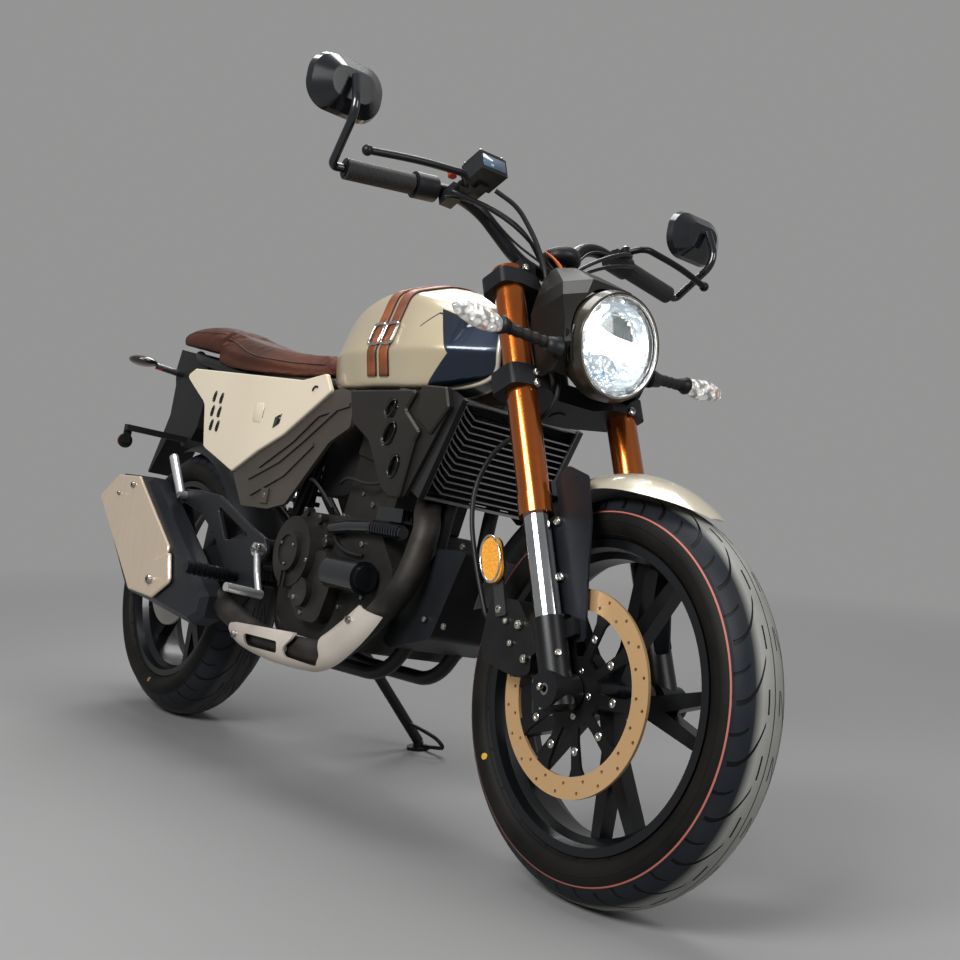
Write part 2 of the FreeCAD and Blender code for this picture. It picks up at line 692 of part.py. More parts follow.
hose_points = [(38, -150, 822), (46, -112, 800), (44, -80, 752), (37, -58, 700), (30, -54, 650),
               (12, -56, 600),
               (14, -58, 560), (34, -60, 512), (34, -62, 472), (6, -66, 446), (-50, -74, 440),
               (-110, -84, 428), (-150, -96, 380),
               (-158, -104, 318), (-156, -104, 240), (-147, -102, 156), (-131.6, -100, 145.4)]
feature("front_brake_hose", FORK, tube(hose_points, 4))

# Headlight: bucket, domed glass and the faceted cowl that carries it between the legs

bucket = new_body("headlight_bucket", LAMP)
shell = outline([(2, dim.lamp_r + 1), (2, dim.lamp_r + 8, 2), (-14, dim.lamp_r + 12, 4),
                 (-34, dim.lamp_r + 10, 8),
                 (-78, 62, 30), (-104, 24, 20), (-104, 0), (-100, 0), (-98, 22, 16), (-74, 58, 26),
                 (-32, dim.lamp_r + 6, 8), (-8, dim.lamp_r + 1)])
turned(bucket, "bucket_shell", sketch(bucket, "bucket_section", "XY_Plane", [shell]), "H_Axis")

lens = new_body("headlight_lens", LAMP)
rim = dim.lamp_r + 1 - dim.fit_gap
dome = [arc(Vector(0, rim, 0), Vector(11, rim * 0.62, 0), Vector(16, 0, 0)),
        Part.LineSegment(Vector(16, 0, 0), Vector(12.5, 0, 0)),
        arc(Vector(12.5, 0, 0), Vector(7.5, rim * 0.62, 0), Vector(-6, rim - 1, 0)),
        Part.LineSegment(Vector(-6, rim - 1, 0), Vector(-6, rim, 0)),
        Part.LineSegment(Vector(-6, rim, 0), Vector(0, rim, 0))]
turned(lens, "lens_dome", sketch(lens, "lens_section", "XY_Plane", [dome]), "H_Axis")

reflector = new_body("headlight_reflector", LAMP)
bowl = outline([(-6.3, rim), (-9.3, rim), (-9.3, rim - 6), (-34, rim - 8, 10), (-70, 52, 30), (-90, 16, 12),
                (-90, 0),
                (-87, 0), (-87, 15, 12), (-67, 49, 28), (-33, rim - 11, 8), (-6.3, rim - 9)])
turned(reflector, "reflector_bowl", sketch(reflector, "reflector_section", "XY_Plane", [bowl]), "H_Axis")


def cowl_level(s, corners, inset):
    """Closed wire across the cowl at a height on the fork, corners (d, y) given for one side."""
    side = [(d - inset, y - inset) for d, y in corners]
    line = [Vector(d, -y, s) for d, y in side] + [Vector(d, y, s) for d, y in reversed(side)]
    return Part.makePolygon(line + line[:1])


cowl_side = dim.lamp_r + 21
cowl_levels = [(492, [(28.9, cowl_side), (52, cowl_side), (60, cowl_side - 2)]),
               (524, [(28.9, cowl_side), (96, cowl_side), (106, 90)]),
               (560, [(28.9, cowl_side), (104, cowl_side), (116, 84)]),
               (606, [(28.9, cowl_side - 1), (104, cowl_side - 3), (128, 64)]),
               (640, [(36, 86), (94, 80), (124, 42)]),
               (694, [(38, 58), (58, 54), (74, 26)])]
outer_skin = lofted([cowl_level(s, corners, 0) for s, corners in cowl_levels], ruled=True)
inner_levels = []
for k, (s, corners) in enumerate(cowl_levels):
    height = s - 1 if k == 0 else min(s, cowl_levels[-1][0] - 4)
    inner_levels.append(cowl_level(height, [(corners[0][0] - 12, corners[0][1])] + corners[1:], 4))
inner_skin = lofted(inner_levels, ruled=True)
lamp_droop = math.radians(dim.rake - dim.lamp_tilt)
lamp_axis = Vector(math.cos(lamp_droop), 0, -math.sin(lamp_droop))
lamp_centre = Vector(dim.lamp_d, 0, dim.lamp_s)
lamp_room = Part.makeCylinder(dim.lamp_r + 14.5, 300, lamp_centre - lamp_axis * 150, lamp_axis)
cowl = outer_skin.cut(inner_skin).cut(lamp_room).cut(tube(hose_points, 9))
cowl_pins = []
for sign in (-1, 1):
    cowl_pins.append(cylinder((96, sign * (cowl_side - 1), 540), (96, sign * (dim.lamp_r + 12.6), 540), 9))
feature("headlight_cowl", FORK, one_solid([cowl] + cowl_pins))

# Handlebar, controls and bar-end mirrors

bar_points = [(-30, 45, 748), (-42, 112, 842), (-44, 160, 862),
              (dim.bar_end_d, dim.bar_end_y, dim.bar_end_s)]
whole_bar = [(d, -y, s) for d, y, s in reversed(bar_points)] + bar_points
bar = tube(whole_bar, dim.bar_r + 1)
feature("handlebar", FORK, bar)

risers = one_solid([Part.makeBox(44, 30, 56, Vector(-52, -66, dim.top_clamp_s + dim.top_clamp_thick / 2)),
                    Part.makeBox(44, 30, 56, Vector(-52, 36, dim.top_clamp_s + dim.top_clamp_thick / 2))])
bar_room = tube(whole_bar, dim.bar_r + 1 + dim.fit_gap)
feature("bar_risers", FORK, risers.cut(bar_room).cut(Part.makeBox(60, 200, 60, Vector(-60, -100, 748))))


def along_bar(first, last, radius, bore):
    """Sleeve round the straight outer part of the bar, between two shares of its length."""
    start = Vector(*bar_points[2])
    end = Vector(*bar_points[3])
    a = start + (end - start) * first
    b = start + (end - start) * last
    return cylinder(a, b, radius).cut(cylinder(a - (b - a), b + (b - a), bore))


grip_bore = dim.bar_r + 1 + dim.fit_gap
grip = along_bar(0.42, 0.99, 17, grip_bore)
feature("grips", FORK, both_sides(grip))
housing = along_bar(0.22, 0.40, 22, grip_bore)
bar_hole = tube(whole_bar, grip_bore)
perch = Part.makeBox(42, 24, 20, Vector(-48, 176, 829)).cut(bar_hole)
reservoir = Part.makeBox(50, 54, 34, Vector(2, 132, 846))
mount = Part.makeBox(46, 20, 20, Vector(-30, 144, 840)).cut(bar_hole)
lever_path = tube([(3, 188, 838), (34, 206, 836), (30, 300, 828), (12, 384, 824)], 6)
lever_eye = Part.makeCylinder(9, 16, Vector(-6 + 9 + dim.fit_gap, 188, 829))
lever = one_solid([lever_path, lever_eye, Part.makeSphere(9, Vector(12, 384, 824))])
perches = both_sides(one_solid([housing, perch]))
feature("bar_controls", FORK, Part.makeCompound(perches.Solids + [flip(one_solid([reservoir, mount]))]))
feature("levers", FORK, both_sides(lever))


def mirror_head():
    """Oval mirror housing, crowned on the side that faces forward."""
    face = Part.Wire(Part.__sortEdges__([e.toShape() for e in outline(
        [(-68, -46), (68, -46), (68, 46), (-68, 46)], 40)]))
    mid = Part.Wire(Part.__sortEdges__([e.toShape() for e in outline(
        [(-64, -43), (64, -43), (64, 43), (-64, 43)], 38)]))
    top = Part.Wire(Part.__sortEdges__([e.toShape() for e in outline(
        [(-38, -24), (38, -24), (38, 24), (-38, 24)], 20)]))
    mid.translate(Vector(0, 0, 12))
    top.translate(Vector(0, 0, 32))
    solid = Part.makeLoft([face, mid, top], True, True)
    solid.rotate(Vector(), Vector(0, 0, 1), 90)
    solid.rotate(Vector(), Vector(0, 1, 0), 90)
    return solid


head = mirror_head()
head.rotate(Vector(), Vector(0, 1, 0), dim.rake)
head.translate(Vector(-12, 404, 952))
outward = (Vector(*bar_points[3]) - Vector(*bar_points[2])).normalize()
bar_end = Vector(*bar_points[3])
knee = tube([tuple(bar_end + outward * dim.fit_gap), tuple(bar_end + outward * 22), (30, 412, 880),
             (28, 408, 946)], 7)
feature("mirrors", FORK, both_sides(head.fuse(knee)))

# Indicators on ribbed stalks

def signal():
    root_y = dim.lamp_r + 21 + dim.fit_gap
    root = cylinder((83, root_y, 520), (83, root_y + 12, 520), 11)
    stalk = cylinder((83, root_y + 10, 520), (73, 196, 534), 10)
    matrix = FreeCAD.Matrix()
    matrix.scale(19, 50, 21)
    glass = Part.makeSphere(1.0).transformGeometry(matrix)
    glass.translate(Vector(72, 242, 538))
    return one_solid([root, stalk, glass])


feature("front_signals", FORK, both_sides(signal()))

# Frame: head tube, spine, cradle and rear rails

steer_low = dim.low_clamp_s + dim.low_clamp_thick / 2 + 1
steer_high = dim.top_clamp_s - dim.top_clamp_thick / 2 - 1


def on_fork(d, y, s):
    """Point of the fork's own frame, in the upright machine's frame."""
    return Vector(dim.wheelbase + d * cos_rake - s * sin_rake, y,
                  dim.front_tyre_r + d * sin_rake + s * cos_rake)


head_low = on_fork(stem_d, 0, steer_low)
head_high = on_fork(stem_d, 0, steer_high)


pivot_room = cylinder((dim.pivot_x, -200, dim.pivot_z), (dim.pivot_x, 200, dim.pivot_z), 10 + dim.fit_gap)


def studs(extra):
    """Short bosses that carry the side panels, side covers and footrest hangers."""
    panel_face = dim.panel_y - dim.fit_gap
    return [cylinder((x, -y, z), (x, -reach, z), 6 + extra)
            for x, y, z, reach in ((440, 80, 744, panel_face), (225, 80, 668, panel_face),
                                   (560, 60, 640, panel_face - 8), (492, 60, 345, 131 - dim.fit_gap))]


def frame_tubes(extra):
    """The welded frame with every tube this much thicker."""
    big = dim.frame_tube_r + extra
    rail = dim.rail_r + extra
    spine = tube([tuple(on_fork(stem_d, 0, 610)), (960, 0, 860), (700, 0, 800), (600, 0, 700)], big + 4)
    shapes = [Part.makeCylinder(dim.head_tube_r + extra, head_low.distanceToPoint(head_high), head_low,
                                head_high - head_low), spine]
    cradle = tube([tuple(on_fork(stem_d, 0, 556)), (1036, -32, 690), (985, -46, 560), (975, -52, 330),
                   (900, -56, 236), (640, -60, 230), (520, -62, 262), (490, -62, 340), (490, -62, 470),
                   (560, -62, 640), (640, -20, 756)], rail).cut(pivot_room)
    seat_rail = tube([(640, -20, 770), (560, -84, 752), (300, -84, 762), (-60, -70, 818), (-150, -40, 838)],
                     rail - 1)
    strut = tube([(490, -64, 470), (330, -84, 560), (120, -82, 776)], rail - 2)
    for shape in (cradle, seat_rail, strut):
        shapes += [shape, flip(shape)]
    shapes.append(cylinder((490, -62, 470), (490, 62, 470), rail))
    shapes.append(cylinder((-120, -58, 830), (-120, 58, 830), rail - 2))
    shapes.append(cylinder((dim.shock_top_x, -84, dim.shock_top_z), (dim.shock_top_x, 84, dim.shock_top_z),
                           rail - 2))
    for stud in studs(extra):
        shapes += [stud, flip(stud)]
    return one_solid(shapes)


stem_room = Part.makeCylinder(dim.stem_r + 5, 400, head_low - (head_high - head_low), head_high - head_low)
frame = frame_tubes(0).cut(stem_room)
frame_room = frame_tubes(dim.fit_gap)

# Engine: crankcase block, cylinder, side covers

crank = plate([(570, 300, 30), (620, 268, 20), (880, 268, 30), (944, 330, 30), (944, 420, 20),
               (868, 500, 10),
               (620, 500, 20), (560, 420, 30)], -dim.crank_half, dim.crank_half)
barrel = plate([(700, 500.3), (860, 500.3), (880, 590), (724, 620)], -78, 78, 4)
head_block = plate([(724, 620.3), (880, 590.3), (900, 668, 10), (880, 696, 10), (760, 720, 10),
                    (736, 700, 10)],
                   -84, 84, 4)
sprocket_room = plate([(480, 330), (660, 330), (680, 400), (660, 480), (480, 480)], 78, 200)
engine = crank.cut(frame_room).cut(sprocket_room)
straight_run = drive_length * math.cos(wrap_lift)
front_wrap = front_pitch_r * (math.pi - 2 * wrap_lift)
seated_roller = round((straight_run + front_wrap / 2) / dim.chain_pitch)
first_notch = math.pi / 2 - wrap_lift - (seated_roller * dim.chain_pitch - straight_run) / front_pitch_r
front_teeth = [edge.toShape() for edge in outline(toothed(dim.front_teeth, front_pitch_r, first_notch))]
front_sprocket = Part.Face(Part.Wire(Part.__sortEdges__(front_teeth)))
front_sprocket.rotate(Vector(), Vector(1, 0, 0), 90)
front_sprocket = front_sprocket.extrude(Vector(0, 6, 0))
front_sprocket.rotate(Vector(), Vector(0, 1, 0), -math.degrees(drive_rise))
front_sprocket.translate(gearbox_out + Vector(0, dim.chain_y - 3, 0))
shaft = cylinder(gearbox_out + Vector(0, 70, 0), gearbox_out + Vector(0, dim.chain_y + 8, 0), 12)
feature("engine_block", BIKE, one_solid([engine, shaft]))
feature("front_sprocket", BIKE, front_sprocket.cut(cylinder(gearbox_out, gearbox_out + Vector(0, 200, 0),
                                                            12.1)))
feature("top_end", BIKE, Part.makeCompound([barrel.cut(frame_room), head_block.cut(frame_room)]))

clutch = new_body("engine_covers", BIKE)
clutch_x = 656
clutch_z = 420
pad(clutch, "cover_drum", sketch(clutch, "cover_circle", "XZ_Plane",
                                 [round_at(clutch_x, clutch_z, "clutch_r - 8")],
                                 "crank_half + fit_gap"), "40", taper=-8)
pad(clutch, "cover_flange", sketch(clutch, "flange_circle", "XZ_Plane",
                                   [round_at(clutch_x, clutch_z, "clutch_r")],
                                   "crank_half + fit_gap"), "10")
lug_circles = []
for k in range(9):
    lug_angle = math.radians(20 + 40 * k)
    lug_circles.append(round_at(clutch_x + (dim.clutch_r - 1) * math.cos(lug_angle),
                                clutch_z + (dim.clutch_r - 1) * math.sin(lug_angle), "9"))
pad(clutch, "cover_lugs", sketch(clutch, "lug_circles", "XZ_Plane", lug_circles, "crank_half + fit_gap"),
    "16")
lobe = outline([(640, 350, 20), (700, 300, 30), (770, 300, 30), (792, 370, 30), (750, 450, 30)])
pad(clutch, "cover_lobe", sketch(clutch, "lobe_outline", "XZ_Plane", [lobe], "crank_half + fit_gap"), "26")
pad(clutch, "pump_cover", sketch(clutch, "pump_circle", "XZ_Plane", [round_at(708, 350, "27")],
                                 "crank_half + fit_gap"), "38")
pad(clutch, "cover_cap", sketch(clutch, "cap_circle", "XZ_Plane", [round_at(clutch_x, clutch_z, "38"),
                                round_at(clutch_x, clutch_z, "30")], "crank_half + fit_gap"), "50")
pad(clutch, "cover_cap_face", sketch(clutch, "cap_face_circle", "XZ_Plane",
                                     [round_at(clutch_x, clutch_z, "31")],
                                     "crank_half + fit_gap"), "46")
cap_ribs = [outline([(x, 352), (x + 5, 352), (x + 5, 386), (x, 386)]) for x in (640, 654)]
pad(clutch, "cover_ribs", sketch(clutch, "rib_outlines", "XZ_Plane", cap_ribs, "crank_half + 30"), "16")
pad(clutch, "generator_drum", sketch(clutch, "generator_circle", "XZ_Plane",
    [round_at(730, 390, "72")], "-crank_half - 44"), "44 - fit_gap")

crank_face = dim.crank_half + dim.fit_gap

# Swingarm and axle

axle_z = dim.rear_tyre_r
swing_plate = [(520, 434, 24), (520, 382, 20), (440, 372, 14), (60, axle_z - 21, 10),
               (-34, axle_z - 17, 12),
               (-34, axle_z + 17, 12), (60, axle_z + 23, 10), (400, 430, 30)]
right_arm = plate(swing_plate, -128, -100)
left_arm = plate(swing_plate, 100.5, 128)
cross = plate([(440, 428), (380, 412), (340, 396), (340, 366), (440, 384)], -100, 100.5)
pivot_reach = 131 - dim.fit_gap
pivot = cylinder((dim.pivot_x, -pivot_reach, dim.pivot_z), (dim.pivot_x, pivot_reach, dim.pivot_z), 10)
axle_hole = cylinder((0, -200, dim.rear_tyre_r), (0, 200, dim.rear_tyre_r), dim.axle_r + dim.fit_gap / 2)
shock_low = (dim.shock_low_x, dim.shock_low_z)
shock_ears = []
for inner_y, outer_y in ((-27, -19), (19, 27)):
    shock_ears.append(plate([(shock_low[0] - 26, 400), (shock_low[0] + 20, 410),
                             (shock_low[0] + 12, shock_low[1] + 14),
                             (shock_low[0] - 12, shock_low[1] + 14)], inner_y, outer_y, 5))
shock_pin = cylinder((shock_low[0], -27, shock_low[1]), (shock_low[0], 27, shock_low[1]), 7)
arms = one_solid([right_arm, left_arm, cross, pivot] + shock_ears + [shock_pin])
arms = arms.cut(axle_hole)
feature("swingarm", BIKE, arms)
rear_axle = new_body("rear_axle", REAR_WHEEL)
pad(rear_axle, "rear_axle_bar", sketch(rear_axle, "rear_axle_circle", "XZ_Plane",
    [round_at(0, 0, "axle_r"), round_at(0, 0, "5")]), "268", both=True)

# Rear shock between the swingarm and the cross tube under the seat


def shock():
    """Damper with its sleeve and the rings of the coil, between two eyes."""
    low = Vector(dim.shock_low_x, 0, dim.shock_low_z)
    high = Vector(dim.shock_top_x, 0, dim.shock_top_z)
    along = (high - low).normalize()
    reach = low.distanceToPoint(high)
    rod = Part.makeCylinder(11, reach - 30, low + along * 14, along)
    sleeve = Part.makeCylinder(21, reach * 0.74, low + along * (reach * 0.13), along)
    seats = [Part.makeCylinder(dim.spring_r + 4, 7, low + along * (reach * share),
                               along) for share in (0.12, 0.84)]
    eyes = [Part.makeCylinder(16, 34, low - Vector(0, 17, 0), Vector(0, 1, 0)),
            Part.makeCylinder(18, 34, high - Vector(0, 17, 0), Vector(0, 1, 0))]
    coils = [Part.makeCylinder(dim.spring_r, 9, low + along * (reach * (0.17 + 0.074 * k)),
                               along) for k in range(9)]
    whole = one_solid([rod, sleeve] + seats + eyes + coils)
    holes = [Part.makeCylinder(7 + dim.fit_gap, 60, low - Vector(0, 30, 0), Vector(0, 1, 0)),
             Part.makeCylinder(dim.rail_r - 2 + dim.fit_gap, 60, high - Vector(0, 30, 0), Vector(0, 1, 0))]
    return whole.cut(holes[0]).cut(holes[1])


feature("rear_shock", BIKE, shock())

# Hugger over the rear tyre, with the lugs that bolt it to the swingarm

hugger_stations = [(-12, 12), (10, 15), (34, 18), (58, 18), (79, 16)]
hugger_skin = lofted([arch_section(angle, dim.rear_tyre_r + dim.hugger_gap, 76, 20 + drop, 3)
                      for angle, drop in hugger_stations])
hugger_parts = [hugger_skin]
for sign in (-1, 1):
    hugger_parts.append(cylinder((290, sign * 62, 77.6), (290, sign * (100 - dim.fit_gap), 77.6), 8))
feature("hugger", REAR_WHEEL, one_solid(hugger_parts))

# Radiator with louvred guard, and its shrouds

def on_radiator(along, up):
    """X and Z of a point of the tilted radiator: along its face forward, and up it."""
    tilt = math.radians(23.7)
    return (1019 + up * math.sin(tilt) + along * math.cos(tilt),
            552 + up * math.cos(tilt) - along * math.sin(tilt))


core = plate([on_radiator(-40, 0), on_radiator(-14, 0), on_radiator(-14, 168), on_radiator(-40, 168)], -122,
             122)
RADIATOR_PLACE = Placement(Vector(1019, 0, 552), Rotation(Vector(0, 1, 0), 23.7))
slats = []
for row in range(13):
    low_edge = 8 + row * 11.6
    bend = [(122.2, low_edge), (-92, low_edge), (-112, low_edge + 12), (-122.2, low_edge + 22),
            (-122.2, low_edge + 24.5), (-111, low_edge + 14.5), (-91, low_edge + 2.5), (122.2,
                                                                                        low_edge + 2.5)]
    slats.append(Part.Face(section(-13.6, bend, 0)).extrude(Vector(10, 0, 0)))
cheeks = [Part.makeBox(40, 12, 184, Vector(-40, y, -6)) for y in (-134, 122)]
sills = [Part.makeBox(10, 244.4, 5, Vector(-13.6, -122.2, z)) for z in (-6, 173)]
radiator_frame = one_solid(slats + cheeks + sills)
radiator_frame.Placement = RADIATOR_PLACE
feature("radiator", BIKE, core.cut(frame_room))
feature("radiator_guard", BIKE, radiator_frame.cut(frame_room))

shroud_face = [(760, 728, 6), (976, 729, 6), (952, 694, 6), (1004, 658, 6), (994, 640, 6), (978, 541, 8),
               (944, 541, 8),
               (918, 556, 14), (852, 636, 24), (786, 668, 20)]
shroud_holes = [([(886, 682), (918, 678), (930, 706), (898, 712)], 13),
                ([(892, 632), (926, 630), (940, 668), (906, 672)], 16),
                ([(932, 578), (958, 576), (966, 612), (936, 614)], 13)]
shroud = bevelled(plate(shroud_face, -150, -141, 0, shroud_holes), -150, 3.5)
shroud_back = plate([(960, 545, 6), (982, 545, 6), (1068, 698, 10), (1056, 734, 8), (986, 736, 6),
                     (900, 700, 10)],
                    -141, -134 - dim.fit_gap)
shroud_wing = bevelled(plate([(982, 738, 6), (1056, 734, 8), (1072, 700, 8), (1030, 652, 8), (984, 680, 8)],
                             -147, -134 - dim.fit_gap), -147, 3)
shroud_solid = one_solid([shroud, shroud_back, shroud_wing])
for hole, fillet in shroud_holes:
    shroud_solid = shroud_solid.cut(plate(hole, -160, -130, fillet))
feature("radiator_shrouds", BIKE, both_sides(shroud_solid))

belly = plate([(1120, 474, 6), (1062, 322, 20), (949, 290, 14), (925, 300, 6), (1040, 470, 6)], -92, 92)
belly_room = plate([(1112, 474 + 8), (1056, 330), (949, 297), (880, 300), (980, 490)], -89, 89)
hose_sweep = Part.makeCylinder(168, 500, on_fork(stem_d, 0, 0), head_high - head_low)
feature("belly_plate", BIKE, belly.cut(belly_room).cut(hose_sweep).cut(frame_room))

# Tank, seat and rear pad

def tank_section(x, half, foot, low, crease, shoulder_y, shoulder_z, top):
    return section(x, [(-foot, low, 12), (-half, crease, 12), (-shoulder_y, shoulder_z, 40), (0, top, 160),
                       (shoulder_y, shoulder_z, 40), (half, crease, 12), (foot, low, 12)], 0)


tank = lofted([tank_section(562, 70, 60, 762, 800, 56, 880, 918),
               tank_section(640, 118, 108, 740, 800, 90, 890, 938),
               tank_section(740, 144, 130, 737, 800, 112, 912, 962),
               tank_section(860, 150, 134, 737, 800, 120, 912, 960),
               tank_section(980, 150, 132, 738, 802, 118, 888, 928),
               tank_section(1050, 112, 96, 756, 806, 88, 868, 900),
               tank_section(1088, 76, 66, 780, 812, 60, 850, 872)])
tunnel = plate([(540, 700), (1200, 700), (1200, 905), (1040, 905), (700, 830), (540, 790)], -34, 34)
steer_sweep = Part.makeCylinder(60, 500, on_fork(stem_d, 0, 400), head_high - head_low)
yoke_bottom = dim.top_clamp_s - dim.top_clamp_thick / 2 - 6
yoke_room = [(31, 152), (-39, 152), (stem_d - 33, 48), (stem_d - 36, 0), (stem_d - 33, -48), (-39, -152),
             (31, -152)]
yoke_face = Part.Face(Part.makePolygon([Vector(d, y, yoke_bottom) for d, y in yoke_room + yoke_room[:1]]))
sweeps = []
for step in range(-4, 5):
    turned_room = yoke_face.extrude(Vector(0, 0, dim.top_clamp_thick + 62))
    turned_room.rotate(Vector(stem_d, 0, 0), Vector(0, 0, 1), step * dim.steer_lock / 4)
    turned_room.rotate(Vector(), Vector(0, 1, 0), -dim.rake)
    turned_room.translate(on_fork(0, 0, 0))
    sweeps.append(turned_room)
yoke_sweep = one_solid(sweeps)
feature("tank", BIKE, tank.cut(tunnel).cut(steer_sweep).cut(yoke_sweep).cut(frame_room))

seat = lofted([section(545, [(-58, 778), (-62, 800), (-40, 822), (40, 822), (62, 800), (58, 778)], 8),
               section(420, [(-88, 768), (-98, 790), (-66, 824), (66, 824), (98, 790), (88, 768)], 8),
               section(260, [(-104, 776), (-110, 812), (-80, 842), (80, 842), (110, 812), (104, 776)], 8),
               section(120, [(-100, 790), (-106, 830), (-78, 868), (78, 868), (106, 830), (100, 790)], 8),
               section(52, [(-92, 806), (-96, 850), (-66, 884), (66, 884), (96, 850), (92, 806)], 8)])
feature("seat", BIKE, seat.cut(frame_room))
pad_back = lofted([section(51.7, [(-84, 824), (-90, 866), (-60, 892), (60, 892), (90, 866), (84, 824)], 8),
                   section(-100, [(-74, 846), (-80, 880), (-54, 908), (54, 908), (80, 880), (74, 846)], 8),
                   section(-240, [(-52, 862), (-56, 884), (-40, 904), (40, 904), (56, 884), (52, 862)], 8)])
feature("rear_pad", BIKE, pad_back.cut(frame_room))

# Side panels and covers

louvres = [([(398, 672), (424, 672), (424, 692), (398, 692)], 2)]
for x, z in ((188, 716), (222, 712), (190, 684), (223, 682), (197, 653), (227, 651)):
    louvres.append(([(x - 6, z - 10), (x + 2, z - 11), (x + 6, z + 9), (x - 2, z + 10)], 3))
panel = plate([(20, 764, 8), (60, 780, 10), (560, 750, 10), (646, 762, 8), (676, 728, 6), (520, 640, 6),
               (426, 604, 6),
               (330, 558, 10), (176, 604, 14), (140, 700, 30), (60, 742,
                                                                20)], -dim.panel_y - dim.panel_thick,
              -dim.panel_y, 0, louvres)
feature("side_panels", BIKE, both_sides(bevelled(panel, -dim.panel_y - dim.panel_thick, 2)))
cover = plate([(303, 578, 6), (388, 491, 10), (500, 492, 10), (566, 506, 14), (690, 632, 30),
               (755, 662, 10),
               (750, 726, 8), (700, 736, 8), (620, 720, 8)], -dim.panel_y + 8, -dim.panel_y + dim.fit_gap)
ridges = [plate(corners, -dim.panel_y - 4, -dim.panel_y + 2, 0) for corners in (
    [(436, 578), (441, 571), (560, 628), (640, 680), (744, 700), (744, 707), (636, 687), (556, 636)],
    [(400, 552), (404, 545), (520, 586), (600, 630), (700, 690), (697, 697), (596, 638), (516, 594)],
    [(420, 520), (424, 513), (548, 560), (640, 622), (636, 629), (544, 568)],
    [(470, 502), (500, 502), (500, 532), (470, 532)])]
feature("side_covers", BIKE, both_sides(one_solid([cover] + ridges)))

# Tail: plate holder, lamps and hugger

holder = plate([(-110, 824), (-150, 840), (-256, 856), (-268, 800), (-252, 764), (-250, 690), (-318, 543),
                (-310, 540), (-236, 640), (-176, 640), (-150, 612), (-120, 612), (-84, 660), (-60,
                    780)], -44, 44, 4)
bar_box = Part.makeBox(16, 390, 14, Vector(-142, -195, 622))
reflector_tabs = []
for sign in (-1, 1):
    disc_face = Part.makeCylinder(17, 5, Vector(-145, sign * 186, 598), Vector(-1, 0, 0))
    tab = Part.makeBox(6, 18, 44, Vector(-146, sign * 186 - 9, 592))
    reflector_tabs += [disc_face, tab]
tail_solid = one_solid([holder, bar_box] + reflector_tabs)
feature("tail_unit", BIKE, tail_solid.cut(frame_room).cut(cylinder((0, -100, axle_z), (0, 100, axle_z),
                                                                   axle_z + 33)))
arm_root = cylinder((-226, 44.3, 792), (-226, 62, 792), 8)
arm_r = one_solid([arm_root, cylinder((-226, 54, 792), (-240, 110, 798), 8)])
matrix = FreeCAD.Matrix()
matrix.scale(40, 34, 13)
tail_lens = Part.makeSphere(1.0).transformGeometry(matrix)
tail_lens.translate(Vector(-250, 140, 803))
feature("rear_signals", BIKE, both_sides(arm_r.fuse(tail_lens)))

# Exhaust: header pipe, cast guard, silencer and its shield

header_points = [(890, -30, 628), (941, -52, 574), (985, -90, 528), (1022, -108, 500), (1018, -126, 400),
                 (940, -138, 318), (850, -142, 255), (700, -146, 246), (560, -148, 254), (430, -150, 288),
                 (330, -160, 318)]
header = tube(header_points, dim.header_r)
feature("exhaust_header", BIKE, header.cut(head_block).cut(frame_room))
guard_line = header_points[4:10]
guard_shell = tube(guard_line, dim.guard_r).cut(tube(guard_line, dim.guard_r - dim.guard_thick))
guard_face = plate([(530, 262, 12), (560, 268, 14), (752, 278, 14), (764, 268, 12), (746, 246, 10),
                    (754, 234, 12),
                    (846, 232, 16), (866, 254, 10), (852, 284, 8), (942, 354, 5), (1024, 338, 5), (1016,
                                                                                                   322, 5),
                    (927, 243, 40), (866, 216, 20), (800, 205, 20), (590, 208, 20), (548, 236,
                                                                                     14)], -220, -151, 0,
                   [([(598, 253), (722, 256), (730, 235), (604, 231)], 8)])
guard_bosses = [cylinder((x, -dim.guard_r - y + 1, z), (x, -dim.header_r - dim.fit_gap - y, z), 7)
                for x, y, z in ((738, 145.2, 246.5), (560, 148, 254), (895, 140, 286.5))]
feature("exhaust_guard", BIKE, one_solid([guard_shell.common(guard_face)] + guard_bosses))
muffler_shape = faceted([(440, 302), (324, 368), (70, 521), (-100, 521), (-206, 462), (46, 266), (158, 258),
                         (388, 238),
                         (434, 258)], [(-dim.muffler_out_y, 13), (13 - dim.muffler_out_y, 0),
                                       (-10 - dim.muffler_in_y, 0), (-dim.muffler_in_y, 10)])
feature("muffler", BIKE, muffler_shape.cut(tube(header_points, dim.header_r + dim.fit_gap)))
shield_out = -dim.muffler_out_y - 5
shield = bevelled(plate([(-184, 462, 10), (-95, 516, 10), (24, 518, 12), (259, 372, 14), (86, 268, 12)],
                        shield_out, -dim.muffler_out_y - dim.fit_gap), shield_out, 2)
shield_foot = bevelled(plate([(80, 272, 8), (191, 345, 14), (264, 370, 12), (292, 310, 12), (216, 268, 10)],
                             shield_out - 5, shield_out + 1), shield_out - 5, 3)
feature("muffler_shield", BIKE, one_solid([shield, shield_foot]))

# Footrest hangers, footrests and stand

